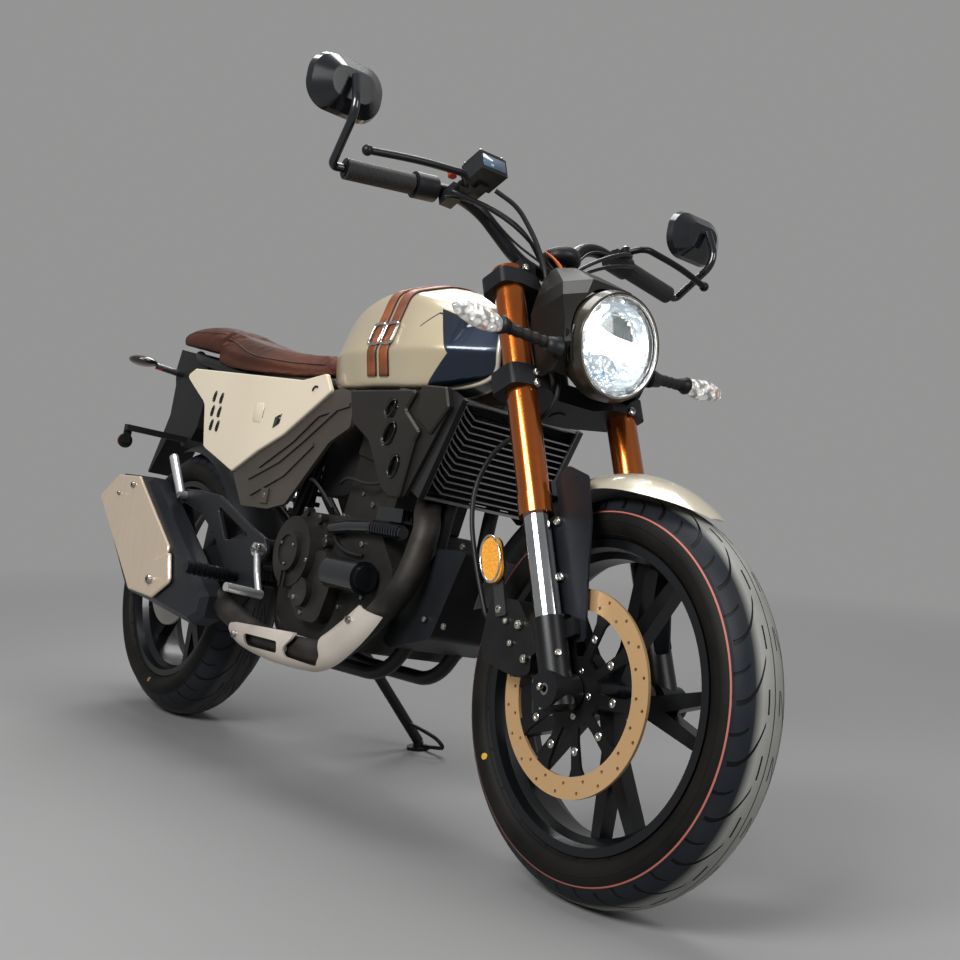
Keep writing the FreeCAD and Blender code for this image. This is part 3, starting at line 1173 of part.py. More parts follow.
hanger_y = 131
hanger_out = 140
hanger = plate([(122, 508, 8), (214, 510, 10), (297, 505, 8), (476, 448, 6), (530, 434, 14), (550, 408, 14),
                (530, 384, 12), (520, 332, 12), (492, 322, 12), (430, 324, 14), (308, 421, 10), (228, 462,
                                                                                                 10),
                (122, 480, 8)], -hanger_out, -hanger_y, 0,
               [([(300, 484), (462, 432), (440, 424), (362, 416)], 5)])
feature("footrest_hangers", BIKE, both_sides(bevelled(hanger, -hanger_out, 2)))
face_y = -hanger_out - dim.fit_gap
rider_peg = [cylinder((446, face_y, 348), (446, -158, 348), 10),
             cylinder((446, -154, 348), (442, -250, 352), 11)]
for k in range(8):
    reach = 8 + 11 * k
    rider_peg.append(cylinder((446 - 0.04 * reach, -154 - reach, 348 + 0.04 * reach),
                              (445.8 - 0.04 * reach, -160 - reach, 348.2 + 0.04 * reach), 13.5))
folded_peg = [cylinder((140, face_y, 494), (140, -158, 494), 9),
              cylinder((140, -152, 494), (66, -152, 574), 10)]
feature("footrests", BIKE, both_sides(Part.makeCompound([one_solid(rider_peg), one_solid(folded_peg)])))
pedal_boss = cylinder((528, face_y, 410), (528, -156, 410), 13)
pedal_arm = tube([(528, -150, 410), (560, -156, 360), (602, -168, 328)], 6.5, 30)
pedal_toe = cylinder((600, -162, 328), (612, -244, 334), 8.5)
feature("foot_controls", BIKE, both_sides(one_solid([pedal_boss, pedal_arm, pedal_toe])))

# Engine fittings: starter, water hose, regulator and the intake boot

starter = cylinder((800, -crank_face - 29.5, 398), (905, -crank_face - 29.5, 398), 29.5)
starter = one_solid([starter, cylinder((905, -crank_face - 29.5, 398), (912, -crank_face - 29.5, 398), 22)])
hose_line = [(745, -122, 474), (800, -122, 483), (877, -122, 488), (964, -115, 486)]
hose = [cylinder((745, -crank_face, 474), (745, -122, 474), 11),
        Part.makeSphere(11, Vector(745, -122, 474)),
        tube(hose_line, 11, 60)]
for k in range(11):
    start = Vector(880 + 7.4 * k, -121.8 + 0.6 * k, 487.9 - 0.16 * k)
    hose.append(Part.makeCylinder(13.2, 3.4, start, Vector(1, 0.08, -0.02)))
fins = [Part.makeBox(80, 62, 5, Vector(866.3, -112, 503))]
for k in range(6):
    fins.append(Part.makeBox(80, 4, 24, Vector(866.3, -112 + 9 * k, 503)))
boot_line = Vector(-0.989, 0, 0.149)
boot_root = Vector(726.6, -30, 640)
boot = [Part.makeCylinder(17, 88, boot_root, boot_line)]
for k in range(4):
    boot.append(Part.makeCylinder(29, 8, boot_root + boot_line * (28 + 15 * k), boot_line))
feature("engine_fittings", BIKE, Part.makeCompound([starter, one_solid(hose), one_solid(fins),
                                                    one_solid(boot)]))

# Side stand: a leg on a slanted pivot, its pad flat on the ground that the lean gives

lean_sin = math.sin(math.radians(dim.lean))
lean_cos = math.cos(math.radians(dim.lean))


def ground_at(y):
    """Height of the ground below the upright machine's point at this Y."""
    return (y * lean_sin + rear_drop) / lean_cos


stand_pivot = Vector(535, 110, 262)
stand_axis = Vector(0, 0.858, 0.513).normalize()
up_from_ground = Vector(0, -lean_sin, lean_cos)
sole = Vector(556, dim.stand_y, ground_at(dim.stand_y))
ankle = sole + up_from_ground * 16
eye = Part.makeCylinder(17, 14, stand_pivot - stand_axis * 7, stand_axis)
leg_bar = cylinder(stand_pivot + (ankle - stand_pivot) * 0.06, ankle, 11)
foot_pad = Part.makeCylinder(24, 6, sole, up_from_ground)
ankle_post = Part.makeCylinder(11, 16, sole, up_from_ground)
loop_wire = tube([tuple(ankle + (stand_pivot - ankle) * 0.18), (598, 262, 104), (640, 280, 92),
                  (646, 300, 74),
                  tuple(sole + up_from_ground * 8 + Vector(14, 4, 0))], 4)
pin_hole = Part.makeCylinder(6 + dim.fit_gap, 40, stand_pivot - stand_axis * 20, stand_axis)
feature("side_stand", BIKE, one_solid([eye, leg_bar, foot_pad, ankle_post, loop_wire]).cut(pin_hole))
bracket_end = stand_pivot - stand_axis * (7 + dim.fit_gap)
lug = Part.makeCylinder(15, 34, bracket_end, -stand_axis)
pin = Part.makeCylinder(6, 18, bracket_end, stand_axis)
feature("frame", BIKE, one_solid([frame, lug, pin]))

# Checks and export

doc.removeObject("probe")
for name, (item, place) in pieces.items():
    item.Placement = place
doc.recompute()
for item in doc.Objects:
    if {"Invalid", "Error"} & set(item.State):
        raise RuntimeError("%s failed: %s" % (item.Name, item.State))
os.makedirs("parts", exist_ok=True)
for name, (item, place) in pieces.items():
    if item.Shape.isNull() or not all(solid.isValid() for solid in item.Shape.Solids):
        raise RuntimeError("%s has no valid shape" % name)
    item.Shape.exportStep("parts/%s.step" % name)
    print("%-22s %2d solids %10.1f cm3" % (name, len(item.Shape.Solids), item.Shape.Volume / 1000))
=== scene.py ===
import math
import bpy
import bmesh
from mathutils import Matrix, Vector
from mathutils.bvhtree import BVHTree


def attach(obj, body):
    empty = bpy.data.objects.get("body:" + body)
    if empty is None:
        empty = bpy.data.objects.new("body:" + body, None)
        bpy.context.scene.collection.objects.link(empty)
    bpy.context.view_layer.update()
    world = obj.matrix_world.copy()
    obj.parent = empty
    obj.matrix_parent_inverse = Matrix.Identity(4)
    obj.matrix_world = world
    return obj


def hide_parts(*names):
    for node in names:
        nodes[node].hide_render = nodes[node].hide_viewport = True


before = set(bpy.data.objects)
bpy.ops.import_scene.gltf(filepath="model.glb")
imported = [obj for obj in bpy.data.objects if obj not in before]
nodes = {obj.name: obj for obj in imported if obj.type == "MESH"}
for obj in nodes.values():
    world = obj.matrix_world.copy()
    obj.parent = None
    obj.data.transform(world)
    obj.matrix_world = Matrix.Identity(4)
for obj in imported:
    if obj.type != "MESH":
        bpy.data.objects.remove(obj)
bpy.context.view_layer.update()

scene = bpy.context.scene
scene.view_settings.view_transform = "Standard"

# Camera.
# It stands ahead of the machine and to its right, 0.7 m over the ground, as in the photograph.
# It has a normal lens with no shift, and it is tipped and rolled by two degrees.
standpoint = (2.1024, -1.46556, 0.68457)
film_width, picture_width, focal_pixels = 36.0, 960.0, 1301.74
yaw, pitch, roll = (math.radians(angle) for angle in (142.85, -2.32, 2.10))
ahead = Vector((math.cos(yaw) * math.cos(pitch), math.sin(yaw) * math.cos(pitch), math.sin(pitch)))
aside = ahead.cross(Vector((0, 0, 1))).normalized()
above = aside.cross(ahead)
right = aside * math.cos(roll) + above * math.sin(roll)
top = above * math.cos(roll) - aside * math.sin(roll)
lens = bpy.data.cameras.new("studio_camera")
lens.sensor_width = film_width
lens.lens = film_width * focal_pixels / picture_width
camera = bpy.data.objects.new("studio_camera", lens)
scene.collection.objects.link(camera)
facing = Matrix((right, top, -ahead)).transposed().to_4x4()
camera.matrix_world = Matrix.Translation(standpoint) @ facing
scene.camera = camera

# Frame, swingarm and stand.
# The frame is welded steel tube and the swingarm is cast alloy, both powder coated satin black.
# The stand is a bent steel tube on a pin, with a wire loop for the boot, in the same coat.


def tint(code):
    """A paint's linear colour from the six figures of its screen colour."""
    parts = [int(code[k:k + 2], 16) / 255 for k in (0, 2, 4)]
    return tuple(((c + 0.055) / 1.055) ** 2.4 if c > 0.04045 else c / 12.92 for c in parts) + (1.0,)


class Flow:
    """A value on its way through a finish, which joins in sums, products and comparisons."""

    def __init__(self, tree, socket):
        self.tree = tree
        self.socket = socket

    def work(self, operation, *values):
        node = self.tree.nodes.new("ShaderNodeMath")
        node.operation = operation
        for entry, value in zip(node.inputs, values):
            if isinstance(value, Flow):
                self.tree.links.new(value.socket, entry)
            else:
                entry.default_value = value
        return Flow(self.tree, node.outputs[0])

    def __add__(self, other):
        return self.work("ADD", self, other)

    def __radd__(self, other):
        return self.work("ADD", other, self)

    def __sub__(self, other):
        return self.work("SUBTRACT", self, other)

    def __rsub__(self, other):
        return self.work("SUBTRACT", other, self)

    def __mul__(self, other):
        return self.work("MULTIPLY", self, other)

    def __rmul__(self, other):
        return self.work("MULTIPLY", other, self)

    def __truediv__(self, other):
        return self.work("DIVIDE", self, other)

    def __pow__(self, other):
        return self.work("POWER", self, other)

    def __abs__(self):
        return self.work("ABSOLUTE", self)

    def __gt__(self, other):
        return self.work("GREATER_THAN", self, other)

    def __lt__(self, other):
        return self.work("LESS_THAN", self, other)

    def rise(self, low, high):
        """Zero up to low, one from high, and even between the two."""
        ramp = (self - low) * (1.0 / (high - low))
        return self.work("MINIMUM", self.work("MAXIMUM", ramp, 0.0), 1.0)

    def line(self, width, soft):
        """One within width of zero, and fading to none over soft."""
        return 1.0 - abs(self).rise(width, width + soft)


class Finish:
    """A surface finish whose pattern follows the piece, with its even values on the shader."""

    def __init__(self, name, **even):
        self.material = bpy.data.materials.new(name)
        self.material.use_nodes = True
        self.tree = self.material.node_tree
        self.shader = self.tree.nodes["Principled BSDF"]
        for entry, value in even.items():
            self.shader.inputs[entry.replace("_", " ")].default_value = value
        self.place = self.add("TexCoord", output="Object")

    def add(self, kind, settings=(), values=(), output=0):
        """A node of that kind, with its settings first and then the values of its sockets."""
        node = self.tree.nodes.new("ShaderNode" + kind)
        for key, value in dict(settings).items():
            setattr(node, key, value)
        for key, value in dict(values).items():
            if isinstance(value, Flow):
                self.tree.links.new(value.socket, node.inputs[key])
            else:
                node.inputs[key].default_value = value
        return Flow(self.tree, node.outputs[output])

    def feed(self, entry, flow):
        self.tree.links.new(flow.socket, self.shader.inputs[entry])

    def coat(self, colour, rough, bumps=None):
        """What changes over the surface: its colour, its roughness and any bumps."""
        self.feed("Base Color", colour)
        self.feed("Roughness", rough)
        if bumps:
            self.feed("Normal", bumps)

    def cloud(self, scale, detail=3.0, place=None):
        return self.add("TexNoise", values={"Vector": place or self.place, "Scale": scale,
                                            "Detail": detail})

    def cells(self, scale, feature="F1"):
        return self.add("TexVoronoi", {"feature": feature}, {"Vector": self.place, "Scale": scale})

    def colour(self, share, first, second):
        """A colour between two, each of them four numbers or another colour on its way."""
        return self.add("Mix", {"data_type": "RGBA"}, {0: share, 6: first, 7: second}, 2)

    def relief(self, height, distance, under=None):
        """Bumps of that many metres, on the smooth surface or on other bumps."""
        values = {"Height": height, "Distance": distance, "Strength": 1.0}
        if under:
            values["Normal"] = under
        return self.add("Bump", values=values)

    def local(self, matrix, stretch=(1, 1, 1)):
        """The piece's coordinates as another frame reads them, such as a wheel's or the fork's."""
        return self.add("Mapping", {"vector_type": "TEXTURE"},
                        {"Vector": self.place, "Location": matrix.to_translation(),
                         "Rotation": matrix.to_euler(), "Scale": stretch})

    def parts(self, flow):
        node = self.tree.nodes.new("ShaderNodeSeparateXYZ")
        self.tree.links.new(flow.socket, node.inputs[0])
        return [Flow(self.tree, out) for out in node.outputs]


def surfaced(name, light, dark, rough, swing=0.08, patch=7.0, tooth=900.0, depth=0.00006, **even):
    """A coat that drifts between two near colours, uneven in sheen, with a fine tooth."""
    finish = Finish(name, **{"Specular_IOR_Level": 0.25, **even})
    drift = finish.cloud(patch, 6.0)
    fine = finish.cloud(tooth, 2.0)
    finish.coat(finish.colour(drift.rise(0.32, 0.68), tint(dark), tint(light)),
                rough + (drift - 0.5) * (2.0 * swing) + (fine - 0.5) * swing, finish.relief(fine, depth))
    return finish


def dress(finish, *names):
    """The CAD nodes keep their shape and take the finish."""
    for name in names:
        for holder in nodes[name].material_slots:
            holder.link = "OBJECT"
            holder.material = finish.material


def frame_at(parent, place, degrees=0.0, axis="Y"):
    """A frame at a place of another one, in metres, turned about one of its axes."""
    return parent @ Matrix.Translation(place) @ Matrix.Rotation(math.radians(degrees), 4, axis)


wheelbase, front_axle_height, rear_axle_height = 1.410, 0.300, 0.307
tyre_pitch, side_lean, fork_rake = 0.0124, -10.4, -25.1
upright = frame_at(Matrix(), (-0.697, -0.2088, 0.001163), tyre_pitch)
bike = frame_at(upright, (0, 0, 0), side_lean, "X")
front_hub = frame_at(bike, (wheelbase, 0, front_axle_height))
rear_hub = frame_at(bike, (0, 0, rear_axle_height))
fork = frame_at(front_hub, (0, 0, 0), fork_rake)

frame_coat = surfaced("frame_powder_coat", "151516", "0d0d0e", 0.42, depth=0.0001, tooth=1400.0)
swingarm_coat = surfaced("swingarm_satin_paint", "1f2023", "131416", 0.40, swing=0.12, depth=0.00012)
dress(frame_coat, "frame", "side_stand")
dress(swingarm_coat, "swingarm", "footrest_hangers", "hugger")
bright_steel = surfaced("turned_steel", "b9b6b0", "8f8c88", 0.30, patch=30.0, depth=0.00003, Metallic=1.0)
dress(bright_steel, "rear_axle", "front_axle", "rear_sprocket", "front_sprocket")


def shaped(name, corners, faces, finish, body, holder, place=None, smooth=True, split=None):
    """A new piece from corners in millimetres in the given frame, closed and facing outwards."""
    mesh = bpy.data.meshes.new(name)
    mesh.from_pydata([Vector(c) / 1000 for c in corners], [], faces)
    draft = bmesh.new()
    draft.from_mesh(mesh)
    bmesh.ops.remove_doubles(draft, verts=draft.verts, dist=0.00001)
    bmesh.ops.recalc_face_normals(draft, faces=draft.faces)
    draft.to_mesh(mesh)
    draft.free()
    if place is not None:
        mesh.transform(place)
    return fitted(name, mesh, finish, body, smooth, split)


def fitted(name, mesh, finish, body, smooth=True, split=35):
    """The piece made of a mesh in its place, with its finish, on its body."""
    mesh.name = name
    mesh.materials.clear()
    mesh.materials.append(finish.material)
    if smooth:
        mesh.shade_smooth()
        if split:
            mesh.set_sharp_from_angle(angle=math.radians(split))
    piece = bpy.data.objects.new(name, mesh)
    scene.collection.objects.link(piece)
    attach(piece, body)
    return piece


def plain_mesh(piece):
    """What a piece looks like with its modifiers or as a curve, as a mesh, and the piece goes."""
    bpy.context.view_layer.update()
    shape = bpy.data.meshes.new_from_object(piece.evaluated_get(bpy.context.evaluated_depsgraph_get()))
    bpy.data.objects.remove(piece)
    return shape


def wound(name, runs, thick, finish, body, place, closed=False):
    """Rods or wires of one thickness along smooth lines, as one piece."""
    line = bpy.data.curves.new(name, "CURVE")
    line.dimensions = "3D"
    line.bevel_depth = thick / 1000
    line.bevel_resolution = 3
    line.use_fill_caps = True
    line.resolution_u = 6
    for run in runs:
        spline = line.splines.new("NURBS")
        spline.points.add(len(run) - 1)
        for point, spot in zip(spline.points, run):
            point.co = (*(place @ (Vector(spot) / 1000)), 1.0)
        spline.order_u = min(4, len(run))
        spline.use_endpoint_u = not closed
        spline.use_cyclic_u = closed
    rod = bpy.data.objects.new(name, line)
    scene.collection.objects.link(rod)
    return fitted(name, plain_mesh(rod), finish, body, split=50)


def circle(count, wide=1.0, tall=None):
    """That many pairs of places round a circle, or round an oval as wide and tall as given."""
    tall = wide if tall is None else tall
    return [(wide * math.cos(math.tau * k / count), tall * math.sin(math.tau * k / count))
            for k in range(count)]


def head_shape(radius, tall, socket):
    """One screw head with a six-sided socket, its foot on the origin and its top up."""
    round_sides, key_sides = 18, 6
    per_side = round_sides // key_sides
    draft = bmesh.new()
    steps = ((radius, 0.0), (radius, 0.55 * tall), (0.86 * radius, 0.9 * tall), (0.7 * radius, tall),
             (socket, tall), (socket * 0.96, 0.35 * tall))
    rings = []
    for level, (wide, high) in enumerate(steps):
        around = round_sides if level < 4 else key_sides
        rings.append([draft.verts.new((x, y, high)) for x, y in circle(around, wide)])
    for low, high in zip(rings[:3], rings[1:4]):
        for k in range(round_sides):
            draft.faces.new((low[k - 1], low[k], high[k], high[k - 1]))
    foot, rim, mouth, bed = rings[0], rings[3], rings[4], rings[5]
    for k in range(key_sides):
        after = (k + 1) % key_sides
        outer = [rim[(per_side * k + n) % round_sides] for n in range(per_side + 1)]
        draft.faces.new(outer + [mouth[after], mouth[k]])
        draft.faces.new((mouth[k], mouth[after], bed[after], bed[k]))
    draft.faces.new(bed)
    draft.faces.new(foot)
    bmesh.ops.recalc_face_normals(draft, faces=draft.faces)
    mesh = bpy.data.meshes.new("screw_head")
    draft.to_mesh(mesh)
    draft.free()
    return mesh


def screws(name, spots, finish, body, place, radius=5.0, tall=4.0, socket=0.42):
    """Screw heads on a surface: each spot is a foot, the way its head points, and its size."""
    cloud = bpy.data.meshes.new(name + "_feet")
    cloud.from_pydata([place @ (Vector(foot) / 1000) for foot, way, size in spots], [], [])
    turn = place.to_3x3()
    ways = cloud.attributes.new("way", "FLOAT_VECTOR", "POINT")
    ways.data.foreach_set("vector", [part for foot, way, size in spots
                                     for part in (turn @ Vector(way)).normalized()])
    sizes = cloud.attributes.new("size", "FLOAT", "POINT")
    sizes.data.foreach_set("value", [size for foot, way, size in spots])
    model = bpy.data.objects.new(name + "_model", head_shape(radius / 1000, tall / 1000,
                                                            socket * radius / 1000))
    carrier = bpy.data.objects.new(name + "_feet", cloud)
    scene.collection.objects.link(model)
    scene.collection.objects.link(carrier)
    tree = bpy.data.node_groups.new(name + "_tree", "GeometryNodeTree")
    for in_out in ("INPUT", "OUTPUT"):
        tree.interface.new_socket("Geometry", in_out=in_out, socket_type="NodeSocketGeometry")
    growth = tree.interface.new_socket("Head Size", in_out="INPUT", socket_type="NodeSocketFloat")
    entry, leave = tree.nodes.new("NodeGroupInput"), tree.nodes.new("NodeGroupOutput")
    head = tree.nodes.new("GeometryNodeObjectInfo")
    head.inputs["Object"].default_value = model
    way, size = (tree.nodes.new("GeometryNodeInputNamedAttribute") for attribute in range(2))
    way.data_type, size.data_type = "FLOAT_VECTOR", "FLOAT"
    way.inputs["Name"].default_value, size.inputs["Name"].default_value = "way", "size"
    swell = tree.nodes.new("ShaderNodeMath")
    swell.operation = "MULTIPLY"
    stand = tree.nodes.new("FunctionNodeAlignRotationToVector")
    stand.axis = "Z"
    planted = tree.nodes.new("GeometryNodeInstanceOnPoints")
    real = tree.nodes.new("GeometryNodeRealizeInstances")
    painted = tree.nodes.new("GeometryNodeSetMaterial")
    painted.inputs["Material"].default_value = finish.material
    for source, target in ((way.outputs[0], stand.inputs["Vector"]),
                           (size.outputs[0], swell.inputs[0]),
                           (entry.outputs["Head Size"], swell.inputs[1]),
                           (entry.outputs["Geometry"], planted.inputs["Points"]),
                           (head.outputs["Geometry"], planted.inputs["Instance"]),
                           (stand.outputs[0], planted.inputs["Rotation"]),
                           (swell.outputs[0], planted.inputs["Scale"]),
                           (planted.outputs[0], real.inputs[0]), (real.outputs[0], painted.inputs[0]),
                           (painted.outputs[0], leave.inputs[0])):
        tree.links.new(source, target)
    grown = carrier.modifiers.new("heads", "NODES")
    grown.node_group = tree
    grown[growth.identifier] = 1.0
    mesh = plain_mesh(carrier)
    bpy.data.objects.remove(model)
    return fitted(name, mesh, finish, body)


screws("hanger_screws", [((540, -153, 415), (0, -1, 0), 1.5), ((528, -158, 410), (0, -1, 0), 1.2),
                         ((485, -133, 517), (0, -1, 0), 1.1)], bright_steel, "root", bike)

# Engine.
# The crankcase, cylinder and head are sand-cast alloy in dark paint, and the round clutch cover
# is machined on its rim and held by nine screws. The starter is gloss black, the hoses are
# rubber, and the fittings behind the cylinder are plated.
case_paint = surfaced("cast_case_paint", "262422", "171615", 0.52, swing=0.12, patch=12.0, tooth=420.0,
                      depth=0.00025)
cover_paint = surfaced("machined_cover_paint", "3b3835", "2a2826", 0.40, swing=0.10, patch=15.0,
                       tooth=650.0, depth=0.00012, Metallic=0.55)
dress(case_paint, "engine_block", "top_end")
dress(cover_paint, "engine_covers")

fitting_finish = Finish("engine_fitting_metal", Coat_Weight=0.4)
along_bike = fitting_finish.parts(fitting_finish.local(bike))
patina = fitting_finish.cloud(40.0, 4.0)
plated = along_bike[2].rise(0.481, 0.482) * (along_bike[0] < 0.672) * patina.rise(0.36, 0.44)
fitting_finish.feed("Metallic", 0.25 + 0.7 * plated)
fitting_finish.coat(
    fitting_finish.colour(plated, fitting_finish.colour(patina, tint("101214"), tint("1d2024")),
                          fitting_finish.colour(patina, tint("a8a5a0"), tint("d3d0ca"))),
    0.14 + 0.14 * plated + 0.16 * patina, fitting_finish.relief(fitting_finish.cloud(700.0), 0.00006))
dress(fitting_finish, "engine_fittings")

cover_spots = []
for from_centre, out, first, count, size in ((84, -123, 20, 9, 0.9), (25, -158, 30, 3, 0.55)):
    for k in range(count):
        angle = math.radians(first + 360 / count * k)
        cover_spots.append(((656 + from_centre * math.cos(angle), out, 420 + from_centre * math.sin(angle)),
                            (0, -1, 0), size))
screws("cover_screws", cover_spots, bright_steel, "root", bike)
screws("engine_bolts", [((x, y, z), (0, -1, 0), size) for x, y, z, size in (
    (696, -146, 338, 1.0), (708, -134, 313, 0.9), (791, -108, 337, 1.0), (834, -108, 456, 1.2),
    (863, -108, 364, 1.0), (722, -118, 457, 0.9), (717, -148, 409, 0.8), (799, -78, 530, 1.2),
    (708, -78, 502, 1.2), (826, -108, 322, 0.9), (884, -108, 408, 0.9), (760, -78, 548, 1.0))],
       bright_steel, "root", bike)


def skinned(rows):
    """Corners and faces of a skin over rows of as many corners each, with both ends closed."""
    count = len(rows[0])
    corners = [spot for row in rows for spot in row]
    faces = []
    for k in range(len(rows) - 1):
        for n in range(count):
            m = (n + 1) % count
            faces.append((k * count + n, k * count + m, (k + 1) * count + m, (k + 1) * count + n))
    faces.append(tuple(range(count)))
    faces.append(tuple((len(rows) - 1) * count + n for n in range(count)))
    return corners, faces


def ribbed_line(points, thick, ribs):
    """Corners and faces of a corrugated hose along points, in the same units as they are."""
    path = [Vector(p) for p in points]
    steps = 4 * ribs
    rows = []
    for k in range(steps + 1):
        far = k / steps * (len(path) - 1)
        at = min(int(far), len(path) - 2)
        here = path[at].lerp(path[at + 1], far - at)
        way = (path[at + 1] - path[at]).normalized()
        side = way.orthogonal().normalized()
        other = way.cross(side)
        wide = thick * (1.0, 1.0, 0.84, 0.84)[k % 4]
        rows.append([here + side * u + other * v for u, v in circle(16, wide)])
    return skinned(rows)


airbox_plastic = surfaced("airbox_moulded_plastic", "19191a", "0e0e0f", 0.5, tooth=1500.0,
                          depth=0.0001)
box_side = ((562, 566), (586, 536), (672, 544), (706, 586),
            (710, 660), (686, 694), (600, 700), (570, 680))
box_rows = ((-64, 0.86), (-58, 1.0), (-20, 1.0), (-16, 0.97),
            (16, 0.97), (20, 1.0), (58, 1.0), (64, 0.86))
air_box = [[(636 + (x - 636) * grow, y, 618 + (z - 618) * grow) for x, z in box_side]
           for y, grow in box_rows]
shaped("air_box", *skinned(air_box), airbox_plastic, "root", "black_plastic", bike, split=30)

hose_rubber = surfaced("black_hose_rubber", "222120", "131313", 0.55, tooth=1600.0, depth=0.00008)
breather = [(770, -60, 640), (806, -80, 622), (846, -92, 608), (890, -92, 604), (930, -84, 610)]
shaped("breather_hose", *ribbed_line(breather, 11, 26), hose_rubber, "root", "black_rubber", bike)
wound("engine_wires", [[(700, -96, 560), (744, -112, 578), (790, -112, 560), (838, -96, 566), (868, -76, 590)],
                       [(610, -110, 560), (650, -126, 566), (690, -126, 540), (724, -118, 512)],
                       [(742, -112, 470), (764, -130, 452), (806, -126, 430), (846, -112, 436)]],
      3.2, hose_rubber, "root", bike)

# Exhaust.
# A mild steel header leaves the head and runs under the engine inside a satin cast alloy guard.
# The dark silencer is folded sheet, and a brushed plate is screwed to its outer side.
header_heat = Finish("header_dull_steel", Metallic=0.6)
soot = header_heat.cloud(22.0, 6.0)
header_heat.coat(header_heat.colour(soot.rise(0.35, 0.7), tint("201e1c"), tint("383431")),
                 0.42 + 0.25 * soot, header_heat.relief(header_heat.cloud(500.0), 0.0001))
dress(header_heat, "exhaust_header")
guard_alloy = surfaced("guard_cast_alloy", "ece2d6", "d6cbbf", 0.40, swing=0.1, patch=6.0, tooth=800.0,
                       depth=0.00012, Metallic=0.75)
dress(guard_alloy, "exhaust_guard")
silencer_coat = surfaced("silencer_dark_coat", "23262b", "15171b", 0.36, swing=0.12, patch=5.0,
                         depth=0.00008, Metallic=0.35)
dress(silencer_coat, "muffler")


plate_metal = Finish("silencer_plate_metal", Metallic=0.6)
brush_lines = plate_metal.cloud(18.0, 3.0, plate_metal.local(bike, (0.02, 0.02, 1.0)))
handling = plate_metal.cloud(5.0, 4.0)
plate_metal.coat(plate_metal.colour(brush_lines.rise(0.3, 0.7), tint("dcc8b0"), tint("ecd9c2")),
                 0.36 + 0.18 * (brush_lines - 0.5) + 0.2 * (handling - 0.5),
                 plate_metal.relief(brush_lines, 0.00002))
dress(plate_metal, "muffler_shield")
screws("exhaust_screws", [((562, -182, 245), (0, -1, -0.3), 1.3), ((935, -172, 326), (0, -1, 0.2), 1.3),
                          ((200, -211, 304), (0, -1, 0), 2.0),
                          ((3, -206, 497), (0, -1, 0), 1.4), ((-70, -206, 474), (0, -1, 0), 1.0)],
       bright_steel, "root", bike)

# Footrests.
# The hangers carry alloy pegs with ribbed rubber, a polished toe peg with a wire stop, and
# folded passenger pegs with bright metal edges.
peg_finish = Finish("footrest_metal", Metallic=0.85)
across = peg_finish.parts(peg_finish.local(bike))
chrome_part = (across[0] > 0.50) + (across[0] < 0.20)
smear = peg_finish.cloud(60.0, 3.0)
peg_finish.coat(peg_finish.colour(chrome_part, tint("1d2126"), tint("cfd0d2")), 0.22 + 0.25 * smear)
dress(peg_finish, "foot_controls", "footrests")

# Radiator with its guard, and belly plate.
# The core is black finned alloy. The guard is a black frame with thin bent slats whose edges
# are bare. The plate under it is black moulded plastic on screws.
radiator_place = frame_at(bike, (1.019, 0, 0.552), 23.7)
core_finish = Finish("radiator_core", Metallic=0.7)
core_x, core_y, core_z = core_finish.parts(core_finish.local(radiator_place))
tube_rows = core_z.work("SINE", core_z * 900.0)
fin_rows = core_y.work("SINE", core_y * 2600.0)
woven = (tube_rows * fin_rows).rise(-0.4, 0.6)
core_finish.coat(core_finish.colour(woven, tint("0c0c0d"), tint("3a3a3b")), 0.45 + 0.1 * fin_rows,
                 core_finish.relief(tube_rows + 0.4 * fin_rows, 0.0012))
dress(core_finish, "radiator")

slat_finish = Finish("slat_metal", Coat_Weight=0.3)
slat_x, slat_y, slat_z = slat_finish.parts(slat_finish.local(radiator_place))
lip = slat_x.rise(-0.0054, -0.0048) * (abs(slat_y) < 0.1228)
scuffs = slat_finish.cloud(90.0, 4.0)
slat_finish.feed("Metallic", lip)
slat_finish.coat(slat_finish.colour(lip * (0.75 + 0.25 * scuffs), tint("141416"), tint("b3b5b8")),
                 0.34 + 0.16 * scuffs)
dress(slat_finish, "radiator_guard")

belly_plastic = surfaced("belly_moulded_plastic", "1a1c20", "101113", 0.44, swing=0.1, tooth=1500.0,
                         depth=0.0001)
dress(belly_plastic, "belly_plate")
screws("radiator_screws", [((1042, -95, 352), (0, -1, 0), 1.1), ((1110, -94, 480), (0, -1, 0), 1.1),
                           ((1098, -94, 348), (0, -1, 0), 1.1)], bright_steel, "root", bike)

# Tank.
# A pressed steel shell in cream paint, with a dark blue field on each side of its nose, a thin
# blue line above it and a raised cream edge in front. It sits on rubbers over the frame.


def rounded_copy(node, voxel, passes, name):
    """A CAD node's form with its edges softened, as a mesh of even faces."""
    draft = bmesh.new()
    draft.from_mesh(nodes[node].data)
    bmesh.ops.remove_doubles(draft, verts=draft.verts, dist=0.00002)
    mesh = bpy.data.meshes.new(name)
    draft.to_mesh(mesh)
    draft.free()
    piece = bpy.data.objects.new(name + "_draft", mesh)
    scene.collection.objects.link(piece)
    even = piece.modifiers.new("even", "REMESH")
    even.mode = "VOXEL"
    even.voxel_size = voxel
    soften = piece.modifiers.new("soften", "SMOOTH")
    soften.factor = 0.5
    soften.iterations = passes
    return plain_mesh(piece)


